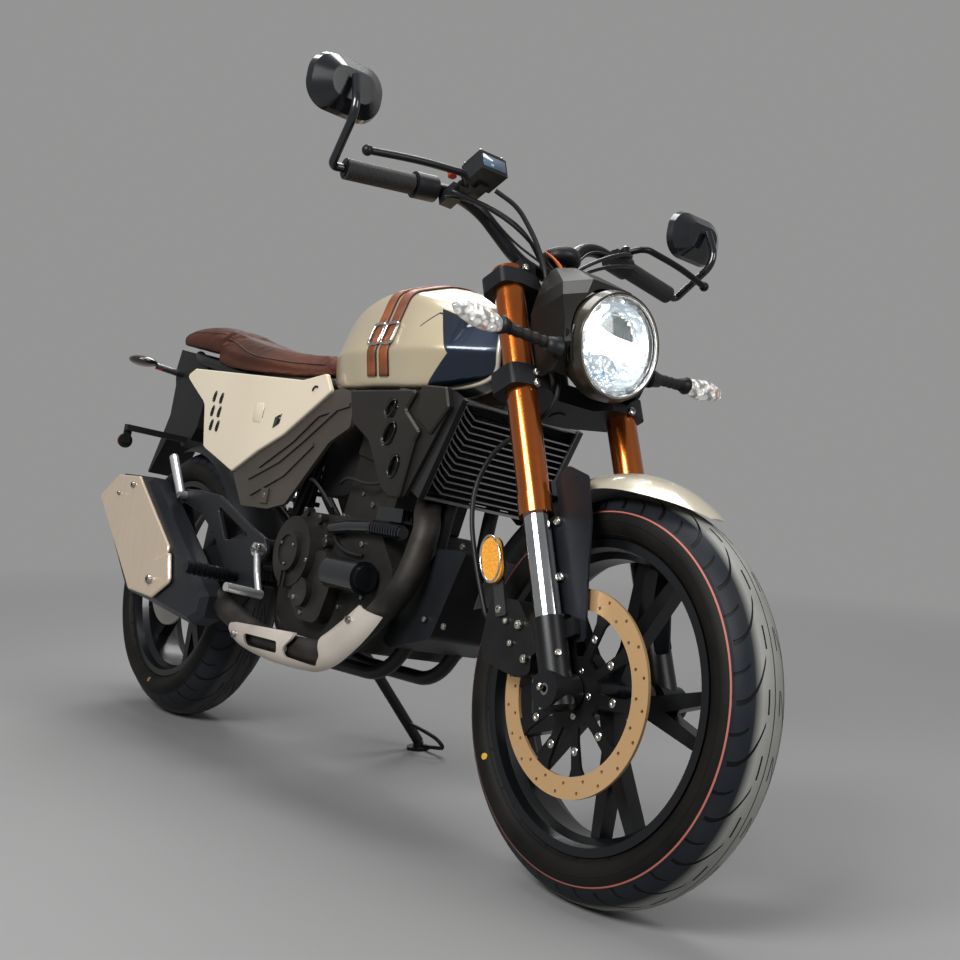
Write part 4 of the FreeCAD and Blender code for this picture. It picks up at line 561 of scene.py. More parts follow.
tank_paint = Finish("tank_two_tone_paint", Coat_Weight=0.85, Coat_Roughness=0.06)
tank_x, tank_y, tank_z = tank_paint.parts(tank_paint.local(bike))
height, forward = tank_z * 1000.0, tank_x * 1000.0
edge_high = forward - (984.0 + 0.576 * (854.0 - height))
edge_low = forward - (1018.0 - 0.731 * (795.0 - height))
inside = edge_high.work("MAXIMUM", edge_high, edge_low)
crown = (872.0 - 0.30 * (forward - 984.0)) - height
field = inside.work("MINIMUM", inside, crown)
dark_field = field.rise(-0.5, 0.5) * (abs(tank_y) > 0.045)
climb, level = 842.0 + 0.78 * (forward - 938.0), 867.0 - 0.11 * (forward - 970.0)
blue_line = (height - climb.work("MINIMUM", climb, level)).line(1.4, 0.6) * (abs(tank_y) > 0.05)
blue_line = blue_line * (forward > 938.0) * (forward < 1046.0)
flake = tank_paint.cloud(2600.0, 1.0)
drift = tank_paint.cloud(3.5, 3.0)
cream = tank_paint.colour(drift.rise(0.35, 0.65), tint("b9aa8c"), tint("c8ba9d"))
navy = tank_paint.colour(flake.rise(0.45, 0.7), tint("0b1725"), tint("152c45"))
orange_peel = tank_paint.relief(tank_paint.cloud(260.0, 2.0), 0.00003)
tank_paint.feed("Metallic", 0.38 + 0.22 * dark_field)
tank_paint.coat(tank_paint.colour(dark_field.work("MAXIMUM", dark_field, blue_line), cream, navy),
                0.30 + 0.10 * (drift - 0.5) + 0.05 * flake,
                tank_paint.relief(1.0 - dark_field, 0.0012, orange_peel))
tank_form = rounded_copy("tank", 0.0032, 4, "tank_shell")
tank_shell = fitted("tank_shell", tank_form, tank_paint, "root", split=None)
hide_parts("tank")

cream_gloss = surfaced("cream_gloss_paint", "bbb3a0", "b1a894", 0.26, patch=3.0, depth=0.00002,
                       tooth=1800.0, Metallic=0.2, Coat_Weight=0.9, Coat_Roughness=0.05)


def hull_of(piece):
    """A piece's faces, kept so that lines can be shot at them."""
    return BVHTree.FromPolygons([corner.co.copy() for corner in piece.data.vertices],
                                [tuple(face.vertices) for face in piece.data.polygons])


tank_hull = hull_of(tank_shell)


def tank_skin(x, y, z, side):
    """Where the tank's outer skin is, seen from beside it at that station, in millimetres."""
    turn = bike.to_3x3()
    start = bike @ (Vector((x, side * 300, z)) / 1000)
    spot, way, index, far = tank_hull.ray_cast(start, turn @ Vector((0, -side, 0)))
    return (bike.inverted() @ spot) * 1000 if spot else Vector((x, side * y, z))


both_sides = ((-1, "right"), (1, "left"))
nose_edge = [(1076, 80, 852), (1082, 76, 832), (1086, 72, 806), (1086, 70, 786), (1078, 68, 770),
             (1060, 72, 758), (1036, 84, 748), (1008, 98, 742), (988, 110, 740)]
proud, near_skin = 1.5, 14.0
for side, label in both_sides:
    lay = []
    for x, y, z in nose_edge:
        skin_y = tank_skin(x, y, z, side).y
        lay.append((x, skin_y + side * proud if abs(skin_y - side * y) < near_skin else side * y, z))
    wound("tank_edge_" + label, [lay], 4.4, cream_gloss, "root", bike)

# Tank straps.
# Two belts of thick brown saddle leather run over the tank from side to side, with waxed edges,
# and each has a nickelled steel buckle on both sides.
saddle_leather = Finish("saddle_leather", Coat_Weight=0.15)
hide = saddle_leather.cloud(26.0, 7.0)
pores = saddle_leather.cells(520.0, "DISTANCE_TO_EDGE")
saddle_leather.coat(saddle_leather.colour(hide.rise(0.3, 0.72), tint("632d0a"), tint("914a17")),
                    0.48 + 0.25 * (hide - 0.5), saddle_leather.relief(pores.rise(0.0, 0.12), 0.00018))
nickel = surfaced("nickelled_buckle_steel", "dcdcda", "b0aeaa", 0.18, patch=60.0, depth=0.00002,
                  Metallic=1.0)
waxed_edge = surfaced("waxed_leather_edge", "15100c", "0c0a08", 0.5, depth=0.00005)


def belt_rows(middle, half, lift, thick):
    """Rows across a belt over the tank, from the right foot over the top to the left foot."""
    turn = bike.to_3x3()
    inside_height, clear, steps, first, sweep = 800, 0.4, 72, -18, 216
    rows = []
    for k in range(steps + 1):
        angle = math.radians(first + sweep * k / steps)
        way = Vector((0, -math.cos(angle), math.sin(angle)))
        row = []
        for x in (middle - half, middle - half / 3, middle + half / 3, middle + half):
            start = bike @ (Vector((x, 0, inside_height)) / 1000) + turn @ way * clear
            spot, normal, index, far = tank_hull.ray_cast(start, turn @ -way)
            if spot is None:
                continue
            place = (bike.inverted() @ spot) * 1000
            row.append((place, (bike.inverted().to_3x3() @ normal).normalized()))
        if len(row) == 4:
            rows.append(row)
    inner = [[p + n * lift for p, n in row] for row in rows]
    outer = [[p + n * (lift + thick) for p, n in row] for row in rows]
    return [[*low_row, *reversed(high_row)] for low_row, high_row in zip(inner, outer)]


for label, middle, half in (("rear", 806, 13.5), ("front", 848, 14.5)):
    belt, waxed = belt_rows(middle, half, 0.4, 2.8), belt_rows(middle, half + 2.2, 0.3, 1.2)
    shaped("tank_strap_" + label, *skinned(belt), saddle_leather, "root", "brown_leather", bike)
    shaped("strap_edge_" + label, *skinned(waxed), waxed_edge, "root", "black_rubber", bike)


def buckle(middle, half, side):
    """The closed line of a rectangular buckle that lies on the tank's skin."""
    low, high, over_skin = 812, 852, 5.0
    spots = []
    corners = [(middle - half, low), (middle + half, low), (middle + half, high), (middle - half, high)]
    for k, (x, z) in enumerate(corners):
        for share in (0.1, 0.5, 0.9):
            nx, nz = corners[(k + 1) % 4]
            place = tank_skin(x + (nx - x) * share, 140, z + (nz - z) * share, side)
            spots.append((place.x, place.y + side * over_skin, place.z))
    return spots


for side, label in both_sides:
    wound("strap_buckles_" + label, [buckle(806, 17.5, side), buckle(850, 18.5, side)], 3.0, nickel,
          "root", bike, closed=True)

# Side panels, side covers and shrouds.
# The panels behind the tank are moulded in body colour with six louvres. The covers under them
# and the shrouds beside the radiator are grey-brown moulded plastic, and the vents are black.
panel_paint = surfaced("panel_cream_paint", "d6cab4", "cfc2ab", 0.30, patch=3.0, depth=0.00002,
                       tooth=1600.0, Coat_Weight=0.6, Coat_Roughness=0.1)
dress(panel_paint, "side_panels")
cover_plastic = surfaced("cover_moulded_plastic", "47423c", "3b3631", 0.46, swing=0.08, patch=4.0,
                         tooth=1500.0, depth=0.0001)
dress(cover_plastic, "side_covers")
shroud_plastic = surfaced("shroud_moulded_plastic", "262420", "181715", 0.38, swing=0.08, patch=3.0,
                          tooth=1500.0, depth=0.00008)
dress(shroud_plastic, "radiator_shrouds")
vent_black = surfaced("vent_black_gloss", "16181c", "0c0d10", 0.2, patch=30.0, depth=0.00003,
                      Coat_Weight=0.5)


def oval(x, z, long, short, lean, y, count=40):
    """The closed line of a leaning oval on a side face."""
    return [(x + u * math.cos(lean) - v * math.sin(lean), y, z + u * math.sin(lean) + v * math.cos(lean))
            for u, v in circle(count, long, short)]


shroud_vents = ((907, 696, 17, 10, 0.9), (916, 652, 21, 14, 1.0), (948, 594, 20, 12, 1.3))
louvres = ((188, 716), (222, 712), (190, 684), (223, 682), (197, 653), (227, 651))
hook = ((609, 728), (612, 736), (619, 739), (626, 735))
plug = ((386, 664), (416, 662), (421, 667), (423, 698), (418, 703), (390, 704), (384, 699), (382, 669))
plug_x, plug_z = 403, 683
patch = ((476, 652), (500, 662), (504, 682), (480, 674))
for side, label in both_sides:
    wound("shroud_vent_rims_" + label, [oval(*vent, 151.0 * side) for vent in shroud_vents], 1.6,
          vent_black, "root", bike, closed=True)
    for k, (x, z) in enumerate(louvres):
        wound("panel_slot_%s_%d" % (label, k), [oval(x, z, 11, 3.6, 1.2, 140.0 * side, 24)], 2.4,
              vent_black, "root", bike, closed=True)
    wound("panel_clip_" + label, [[(x, 141.5 * side, z) for x, z in hook]], 2.0, vent_black, "root",
          bike)
    rows = [[(plug_x + (x - plug_x) * grow, y * side, plug_z + (z - plug_z) * grow) for x, z in plug]
            for y, grow in ((138.6, 1.0), (140.2, 1.0), (140.7, 0.95))]
    shaped("panel_plug_" + label, *skinned(rows), panel_paint, "root", "cream_paint", bike)
    rows = [[(x, y * side, z) for x, z in patch] for y in (139.2, 141.4)]
    shaped("panel_vent_" + label, *skinned(rows), vent_black, "root", "grey_plastic", bike)

# Seat and rear pad.
# Foam on a plastic base under brown leather, pulled tight over a crowned top. A welt runs round
# both pads, and shallow sewn channels fan out on the rider's part.
seat_leather = Finish("seat_brown_leather", Specular_IOR_Level=0.14)
seat_x, seat_y, seat_z = seat_leather.parts(seat_leather.local(bike))
creases = seat_leather.cloud(34.0, 8.0)
grain = seat_leather.cells(430.0, "DISTANCE_TO_EDGE")
worn = seat_leather.cloud(5.0, 4.0)
reach = (seat_x - 0.62) * 1000.0
fan = seat_y * 9000.0 / (abs(reach) + 90.0)
channel = fan.work("COSINE", fan) * (abs(seat_y) < 0.062) * seat_x.rise(0.12, 0.2)
channel = channel * (1.0 - seat_x.rise(0.42, 0.5))
hide_grain = seat_leather.relief(grain.rise(0.0, 0.14) + 0.8 * creases, 0.00035)
seat_leather.coat(seat_leather.colour(worn.rise(0.3, 0.72), tint("341b12"), tint("553023")),
                  0.56 + 0.18 * (worn - 0.5) + 0.12 * (creases - 0.5),
                  seat_leather.relief(channel, 0.0006, hide_grain))


def stuffed(node, most, name):
    """A pad blown up a little inside its cover from a slightly smaller form, then smoothed."""
    voxel, shrink, blow_steps = 0.006, 0.004, 20
    mesh = rounded_copy(node, voxel, 6, name)
    for corner in mesh.vertices:
        corner.co -= corner.normal * shrink
    rest = [corner.co.copy() for corner in mesh.vertices]
    pad = bpy.data.objects.new(name + "_pad", mesh)
    scene.collection.objects.link(pad)
    held = pad.vertex_groups.new(name="base")
    fixed = [corner.index for corner in mesh.vertices if corner.normal.z < -0.6]
    held.add(fixed, 1.0, "REPLACE")
    cloth = pad.modifiers.new("cover", "CLOTH")
    cloth.settings.use_pressure = True
    cloth.settings.uniform_pressure_force = 4.0
    cloth.settings.vertex_group_mass = "base"
    cloth.settings.effector_weights.gravity = 0.0
    cloth.settings.quality = 5
    cloth.point_cache.frame_start, cloth.point_cache.frame_end = 1, blow_steps
    for step in range(1, blow_steps + 1):
        scene.frame_set(step)
    blown = plain_mesh(pad)
    scene.frame_set(1)
    for corner, start in zip(blown.vertices, rest):
        move = corner.co - start
        if move.length > most:
            corner.co = start + move.normalized() * most
    mesh = blown
    pad = bpy.data.objects.new(name + "_pad", mesh)
    scene.collection.objects.link(pad)
    finer = pad.modifiers.new("finer", "SUBSURF")
    finer.levels = finer.render_levels = 1
    return plain_mesh(pad)


pads = {}
for name, node, most in (("seat_pad", "seat", 0.007), ("rear_cushion", "rear_pad", 0.006)):
    pads[name] = fitted(name, stuffed(node, most, name), seat_leather, "root",
                        split=None)
    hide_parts(node)


def welt_line(pad, stations, heights, side):
    """A line of spots on a pad's skin at given stations and heights, seen from its side."""
    hull = hull_of(pad)
    turn = bike.to_3x3()
    spots = []
    for x, z in zip(stations, heights):
        start = bike @ (Vector((x, side * 200, z + 40)) / 1000)
        spot, way, index, far = hull.ray_cast(start, turn @ Vector((0, -side, -0.28)).normalized())
        if spot is not None:
            spots.append((bike.inverted() @ spot) * 1000)
    return spots


welt_hide = surfaced("welt_dark_leather", "2c1812", "1e100c", 0.42, tooth=1200.0, depth=0.0001)
seat_stations = (540, 500, 460, 420, 380, 340, 300, 260, 220, 180, 140, 110, 80, 62)
seat_heights = (800, 800, 798, 796, 796, 798, 800, 804, 812, 824, 838, 848, 856, 858)
rear_stations = (40, 10, -30, -70, -110, -150, -190, -225)
rear_heights = (872, 874, 878, 882, 886, 890, 892, 894)
for side, label in both_sides:
    line = welt_line(pads["seat_pad"], seat_stations, seat_heights, side)
    wound("seat_welt_" + label, [line], 1.7, welt_hide, "root", bike)
    line = welt_line(pads["rear_cushion"], rear_stations, rear_heights, side)
    wound("rear_welt_" + label, [line], 1.6, welt_hide, "root", bike)

# Wheels.
# Cast alloy rims in gloss black carry radial road tyres, which have swept tread grooves and a
# coloured line near the shoulder. The discs are drilled steel, bronze on the front one.


def wheel_reading(finish, hub):
    """Metres across the wheel, turns round it in radians, and metres from its axle."""
    x, y, z = finish.parts(finish.local(hub))
    square = x * x + z * z
    return y, z.work("ARCTAN2", z, x), square.work("SQRT", square)


def tread(name, hub, striped, pitches, sweep, near, far, dot, dot_code, centre):
    """Tyre rubber with swept grooves that repeat round the wheel, and bare side walls."""
    line_radius, dot_radius = 268.0, 0.0052
    rubber = Finish(name, Specular_IOR_Level=0.15)
    across, turned, away = wheel_reading(rubber, hub)
    beside = abs(across) * 1000.0
    side = across > 0.0
    share = (beside - near) * (1.0 / (far - near))
    inward = 1.0 - share.work("MINIMUM", share.work("MAXIMUM", share, 0.0), 1.0)
    swept = turned * (pitches / math.tau) + side * 0.5 - (inward * inward) * (sweep * pitches / 360.0)
    phase = swept.work("FRACT", swept) - 0.5
    long_cut = phase.line(0.036, 0.01) * (beside > near) * (beside < far)
    short = swept.work("FRACT", swept + 0.42 + 0.10 * share) - 0.5
    short_cut = short.line(0.022, 0.008) * (beside > near + 0.62 * (far - near)) * (beside < far + 3.0)
    middle = (across * 1000.0).line(0.5, 0.4)
    beat = turned * (pitches / math.tau) + 0.25
    dash = (beat.work("FRACT", beat) > 0.62) * (beside - 0.8 * near).line(0.9, 0.4)
    cut = long_cut.work("MAXIMUM", long_cut, short_cut)
    cut = cut.work("MAXIMUM", cut, middle.work("MAXIMUM", middle, dash))
    worn = rubber.cloud(14.0, 6.0)
    wall = (away * 1000.0 < line_radius - 1.0) * 1.0
    stripe = (away * 1000.0 - line_radius).line(0.9, 0.3) * (beside > 20.0) * striped
    ridge = ((away * 1000.0 - (line_radius - 14.0)).line(0.5, 0.5)
             + (away * 1000.0 - (line_radius - 34.0)).line(0.6, 0.6))
    crown = rubber.colour(beside.rise(19.0, 29.0), tint(centre), tint("181c22"))
    rolled = rubber.colour(wall, crown, tint("0d0c0b"))
    dusty = rubber.colour(worn.rise(0.35, 0.75) * 0.22, rolled, tint("35322e"))
    grooved = rubber.colour(cut, dusty, tint("060606"))
    lined = rubber.colour(stripe, grooved, tint("b0685c"))
    gap_x = away * turned.work("COSINE", turned) - dot[0]
    gap_z = away * turned.work("SINE", turned) - dot[1]
    dotted = (gap_x * gap_x + gap_z * gap_z < dot_radius ** 2) * (across < 0.0)
    grit = rubber.relief(rubber.cloud(520.0, 3.0), 0.00012)
    rubber.coat(rubber.colour(dotted, lined, tint(dot_code)), 0.50 + 0.16 * (worn - 0.5) + 0.08 * wall,
                rubber.relief(ridge * 0.4 - cut, 0.0022, grit))
    return rubber


front_rubber = tread("front_tyre_rubber", front_hub, 1.0, 22, 12.0, 13.0, 45.0, (-0.202, -0.136),
                     "c99a34", "8c8c88")
rear_rubber = tread("rear_tyre_rubber", rear_hub, 0.0, 20, 15.0, 12.0, 62.0, (-0.010, -0.240),
                    "8f6a3e", "3d3d3d")
dress(front_rubber, "front_tyre")
dress(rear_rubber, "rear_tyre")

rim_paint = Finish("rim_gloss_black", Coat_Weight=0.15, Coat_Roughness=0.12, Specular_IOR_Level=0.3)
rim_cloud = rim_paint.cloud(9.0, 5.0)
rim_paint.coat(rim_paint.colour(rim_cloud, tint("070809"), tint("0f1115")), 0.26 + 0.16 * rim_cloud,
               rim_paint.relief(rim_paint.cloud(420.0), 0.00005))
dress(rim_paint, "front_rim", "rear_rim")


def disc_steel(name, hub, bright, dull):
    """Disc steel, ground in fine circles, its tone drifting a little over the face."""
    steel = Finish(name, Metallic=0.75)
    across, turned, away = wheel_reading(steel, hub)
    rings = steel.add("TexNoise", {"noise_dimensions": "1D"},
                      {"W": away * 1400.0, "Scale": 1.0, "Detail": 2.0})
    drift = steel.cloud(8.0, 4.0)
    steel.coat(steel.colour(0.6 * rings + 0.4 * drift, tint(dull), tint(bright)), 0.30 + 0.14 * rings,
               steel.relief(rings, 0.00006))
    return steel


dress(disc_steel("front_disc_bronze", front_hub, "f4cd9a", "d9ab76"), "front_disc")
dress(disc_steel("rear_disc_steel", rear_hub, "b8b4ae", "8f8b86"), "rear_disc")
carrier_black = surfaced("carrier_black_alloy", "1c1b1b", "111111", 0.38, depth=0.0001, Metallic=0.3)
dress(carrier_black, "front_disc_carrier")

button_steel = surfaced("button_steel", "d6d2cc", "a8a49e", 0.24, patch=80.0, depth=0.00002,
                        Metallic=1.0)
carrier_face = -79.4
button_rings = ((84, 10, 1.25), (34, 5, 1.0))
buttons = [((x, carrier_face, z), (0, -1, 0), size) for from_axle, count, size in button_rings
           for x, z in circle(count, from_axle)]
screws("disc_buttons", buttons, button_steel, "front_wheel", front_hub, radius=5.2, tall=1.6,
       socket=0.5)

chain_steel = surfaced("chain_oiled_steel", "8c877f", "4e4a45", 0.34, patch=120.0, depth=0.00008,
                       Metallic=0.9)
dress(chain_steel, "chain")

# Rear shock and its spring.
# A sealed steel damper with a gloss black sleeve and a wound spring stands between the frame's
# cross tube and the swingarm.
shock_metal = Finish("shock_metal", Metallic=0.7)
shock_dirt = shock_metal.cloud(50.0)
shock_metal.coat(shock_metal.colour(shock_dirt, tint("1a1b1d"), tint("34363a")), 0.25 + 0.2 * shock_dirt)
dress(shock_metal, "rear_shock")

# Fork, fender and front brake.
# Two orange anodised alloy tubes stand in black forged clamps, over chromed inner tubes and cast
# bottoms with a slit and a pinch screw. The fender and the leg guards are black plastic, with a
# cream cap and a grey satin flap, and the caliper is cast black.
anodised = Finish("orange_anodised_tube", Metallic=0.9, Coat_Weight=0.6, Coat_Roughness=0.05)
dyed = anodised.cloud(16.0, 5.0)
turning = anodised.cloud(1.0, 2.0, anodised.local(fork, (1, 1, 0.003)))
anodised.coat(anodised.colour(dyed, tint("9c4712"), tint("c26c26")), 0.15 + 0.07 * turning,
              anodised.relief(turning, 0.00004))
dress(anodised, "fork_outer_tubes")
clamp_black = surfaced("clamp_forged_black", "1c1d1f", "121315", 0.40, depth=0.00012, tooth=1100.0)
dress(clamp_black, "steering_clamps", "bar_risers")
hard_chrome = surfaced("hard_chrome", "d5d6d8", "b9bbbe", 0.09, swing=0.03, depth=0.000005,
                       Metallic=1.0)
dress(hard_chrome, "fork_stanchions")
bottom_black = surfaced("fork_bottom_cast_black", "191a1c", "0f1012", 0.36, swing=0.1, depth=0.00012)
dress(bottom_black, "fork_bottoms")
guard_plastic = surfaced("leg_guard_plastic", "161a20", "0d0f13", 0.46, swing=0.08, patch=10.0,
                         depth=0.00005)
dress(guard_plastic, "fork_guards")
fender_finish = Finish("fender_plastic", Coat_Weight=0.2)
flap_x, flap_y, flap_z = fender_finish.parts(fender_finish.local(fork))
behind = (flap_x < -0.150) * (flap_z < 0.27)
dust = fender_finish.cloud(24.0, 5.0)
fender_finish.coat(
    fender_finish.colour(behind, fender_finish.colour(dust, tint("111316"), tint("1b1e22")),
                         fender_finish.colour(dust, tint("6d6a67"), tint("85817d"))),
    0.36 + 0.14 * dust, fender_finish.relief(fender_finish.cloud(1100.0), 0.00006))
dress(fender_finish, "front_fender")
dress(cream_gloss, "fender_cap")
caliper_black = surfaced("caliper_cast_black", "1a1a1b", "101010", 0.34, swing=0.1, patch=20.0,
                         tooth=700.0, depth=0.00016)
dress(caliper_black, "front_caliper")
brake_rubber = surfaced("brake_hose_rubber", "1c1c1e", "131315", 0.42, depth=0.00006, tooth=2000.0)
dress(brake_rubber, "front_brake_hose")

silver_screw = surfaced("plated_screw_steel", "e0ddd6", "b5b1aa", 0.22, patch=90.0, depth=0.00002,
                        Metallic=1.0)
fork_screws = []
for side, label in both_sides:
    fork_screws += [((29.5, side * 101, 501), (0.9, -0.1 * side, 0), 1.35),
                    ((30.5, side * 104, 482), (0.9, -0.1 * side, 0), 1.35),
                    ((-7.5, side * 60, 729), (1, 0, 0), 1.3),
                    ((25, side * 89, 254), (0, side, 0), 1.5),
                    ((17, side * 89, 168), (0, side, 0), 1.4)]
fork_screws += [((22, -120, 48), (0.9, -0.4, 0), 1.1), ((-7, -135, 5), (0.87, 0, -0.5), 1.2)]
fork_screws += [((x, -117, z), (0, -1, 0), size) for x, z, size in (
    (-55, 113, 1.5), (-96, 150, 1.3), (-52, 60, 1.4), (-80, 92, 1.0), (-84, 128, 1.0))]
screws("fork_screws", fork_screws, silver_screw, "fork", fork)


def lathed(name, outline_pairs, finish, body, holder, place, around=48):
    """A turned piece about the frame's Y: pairs of distance from the axis and place along it."""
    rows = [[(r * u, y, r * v) for r, y in outline_pairs] for u, v in circle(around)]
    count = len(outline_pairs)
    corners = [spot for row in rows for spot in row]
    faces = []
    for k in range(around):
        m = (k + 1) % around
        for n in range(count):
            o = (n + 1) % count
            faces.append((k * count + n, m * count + n, m * count + o, k * count + o))
    return shaped(name, corners, faces, finish, body, holder, place)


lathed("axle_nut_ring", [(9.5, -128.5), (16, -128.5), (17, -127.4), (17, -121), (9.5, -121)],
       silver_screw, "fork", "steel", fork)

# Amber reflector.
# A pressed bezel holds the moulded amber lens on its black bracket, which is screwed on beside
# the caliper.
amber = Finish("amber_reflector_lens", Coat_Weight=0.8, Coat_Roughness=0.05)
prisms = amber.cells(330.0)
badge_x, badge_y, badge_z = amber.parts(amber.local(fork))
lit = (badge_y < -0.1240) * (badge_z > 0.1895)
moulded = amber.colour(prisms * 1.4, tint("d07c0c"), tint("f0a834"))
amber.coat(amber.colour(lit, tint("17181a"), moulded), 0.12 + 0.3 * prisms + 0.25 * (1.0 - lit),
           amber.relief(prisms, 0.0004))
dress(amber, "front_reflector")
wound("reflector_bezel", [[(-92 + u, -129.0, 229 + v) for u, v in circle(28, 23.5, 37.0)]], 2.1, nickel,
      "fork", fork, closed=True)

# Headlamp.
# A spun steel bucket in brown-black metallic holds a clear dome, a bright bowl, a broad light band that swings
# round an upper chamber with upright fins, and a crystal lower chamber. The bowl, the upper chamber, its fins
# and the crystal carry a faint painted glow.
lamp = frame_at(fork, (0.119, 0, 0.531), 26.6)
lamp_axis = frame_at(lamp, (0, 0, 0), -90, "Z")
bucket_paint = surfaced("lamp_bucket_metallic", "4a443a", "332f28", 0.32, swing=0.06, patch=5.0,
                        tooth=2200.0, depth=0.00003, Metallic=0.5, Coat_Weight=0.5, Coat_Roughness=0.1)
dress(bucket_paint, "headlight_bucket")
cowl_paint = surfaced("cowl_olive_metallic", "1b1915", "11100e", 0.48, swing=0.07, patch=4.0,
                      tooth=2400.0, depth=0.00003, Metallic=0.3)
dress(cowl_paint, "headlight_cowl")
clear_dome = Finish("lamp_clear_dome", Transmission_Weight=1.0, IOR=1.35)
haze = clear_dome.cloud(60.0, 2.0)
clear_dome.coat(clear_dome.colour(haze, tint("f4f8fb"), tint("ffffff")), 0.015 * haze)
dress(clear_dome, "headlight_lens")
# The bowl carries a faint painted glow, stronger on some facets than on others. The upper chamber's shell
# takes the same finish.
painted_glow_bowl = Finish("lamp_bowl_painted_glow", Metallic=1.0, Emission_Strength=0.25)
facets = painted_glow_bowl.cells(60.0)
painted_glow_bowl.feed("Emission Color", painted_glow_bowl.colour(facets, tint("dfe3e6"), tint("8d979f")))
painted_glow_bowl.coat(painted_glow_bowl.colour(facets, tint("f6f8f9"), tint("c3ccd3")), 0.12 + 0.15 * facets,
                 painted_glow_bowl.relief(facets, 0.004))
dress(painted_glow_bowl, "headlight_reflector")

glow = Finish("lamp_light_band", Emission_Strength=6.0, Roughness=0.3)
strand = glow.cloud(120.0)
glow.feed("Base Color", glow.colour(strand, tint("fffdf6"), tint("ffffff")))
glow.feed("Emission Color", glow.colour(strand, tint("fff3dd"), tint("ffffff")))


def ribbon(path, widths, depth):
    """Rows across a rounded band that follows a path of (out, left, up) spots, wide as given."""
    line = bpy.data.curves.new("ribbon_line", "CURVE")
    line.dimensions = "3D"
    line.resolution_u = 7
    spline = line.splines.new("NURBS")
    spline.points.add(len(path) - 1)
    for point, spot in zip(spline.points, path):
        point.co = (*spot, 1.0)
    spline.order_u = 4
    spline.use_endpoint_u = True
    guide = bpy.data.objects.new("ribbon_line", line)
    scene.collection.objects.link(guide)
    spots = [corner.co.copy() for corner in plain_mesh(guide).vertices]
    rows = []
    for k, spot in enumerate(spots):
        way = (spots[min(k + 1, len(spots) - 1)] - spots[max(k - 1, 0)]).normalized()
        side = Vector((1, 0, 0)).cross(way).normalized()
        share = k / (len(spots) - 1) * (len(widths) - 1)
        at = min(int(share), len(widths) - 2)
        wide = widths[at] + (widths[at + 1] - widths[at]) * (share - at)
        rows.append([spot + side * u + Vector((v, 0, 0)) for u, v in circle(16, wide, depth)])
    return rows


band_path = [(-14, -30, 58), (-12, -48, 50), (-10, -60, 30), (-8, -54, 6), (-4, -30, 0), (-3, 0, 2),
             (-5, 28, -2), (-8, 50, 4), (-12, 62, 20), (-14, 62, 36)]
band = ribbon(band_path, [5, 13, 17, 18, 15, 12, 13, 15, 12, 6], 5)
shaped("lamp_light_band", *skinned(band), glow, "fork", "lamp_glass", lamp)

# The fins carry a faint painted glow in patches, and the same patches vary their colour and roughness.
painted_glow_fins = Finish("lamp_fin_painted_glow", Metallic=0.8, Emission_Strength=0.2)
glow_and_tone = painted_glow_fins.cloud(50.0)
painted_glow_fins.feed("Emission Color", painted_glow_fins.colour(glow_and_tone, tint("b8bcb4"), tint("6f6e66")))
painted_glow_fins.coat(painted_glow_fins.colour(glow_and_tone, tint("b9bec2"), tint("7d848a")), 0.1 + 0.2 * glow_and_tone)
fin_foot, fin_half, fin_gap, chamber_radius, least_square = 14, 0.8, 8.2, 36.0, 60.0
corners, faces = [], []
for k in range(9):
    y = -34 + fin_gap * k
    head = fin_foot + math.sqrt(max(chamber_radius ** 2 - (y + 1) ** 2, least_square))
    for x, aside in ((-22, 0), (-14, 3)):
        corners += [(x, y + aside + part, z) for part, z in (
            (-fin_half, fin_foot), (fin_half, fin_foot), (fin_half, head), (-fin_half, head))]
    b = 8 * k
    faces += [(b, b + 1, b + 2, b + 3), (b + 7, b + 6, b + 5, b + 4)]
    faces += [(b + n, b + 4 + n, b + 4 + (n + 1) % 4, b + (n + 1) % 4) for n in range(4)]
shaped("lamp_upper_fins", corners, faces, painted_glow_fins, "fork", "lamp_glass", lamp, smooth=False)
shell = [(-44, 0.55), (-34, 0.8), (-22, 0.95), (-12, 1.0), (-12, 1.05), (-24, 1.0), (-46, 0.6)]
rows = [[(out, -1 + u, 12 + v) for u, v in circle(48, 38 * grow, 42 * grow)[:25]] for out, grow in shell]
shaped("lamp_upper_shell", *skinned(rows), painted_glow_bowl, "fork", "lamp_glass", lamp)

# The lower chamber carries a painted glow, white with blue patches.
crystal = Finish("lamp_crystal_painted_glow", Metallic=0.9, Emission_Strength=0.5)
cut_glass = crystal.cells(150.0)
blue = crystal.cloud(30.0, 3.0)
crystal.feed("Emission Color", crystal.colour(blue.rise(0.58, 0.68), tint("dadedf"), tint("4e9fd0")))
crystal.coat(crystal.colour((cut_glass * 0.9).rise(0.1, 0.7), tint("ffffff"), tint("7d93a6")),
             0.08 + 0.2 * cut_glass, crystal.relief(cut_glass, 0.006))
dish = [(-40, 12), (-28, 26), (-16, 33), (-14, 33), (-18, 28), (-22, 16), (-20, 8)]
rows = [[(out, -16 + u, -44 + v) for u, v in circle(28, wide, 0.82 * wide)] for out, wide in dish]
shaped("lamp_lower_crystal", *skinned(rows), crystal, "fork", "lamp_glass", lamp, split=20)

lathed("lamp_ring", [(77.9, 2.2), (79.4, 3.4), (81.6, 2.6), (82.4, 0.4), (82.4, -0.6), (77.9, -0.6)],
       nickel, "fork", "steel", lamp_axis, 96)
bucket_skin = 90.2
slots = [[(out, -bucket_skin * math.cos(angle), bucket_skin * math.sin(angle))
          for angle in [math.radians(8 - 4.5 * k) for k in range(9)]] for out in (-12.0, -21.0)]
wound("bucket_slots", slots, 1.8, vent_black, "fork", lamp)
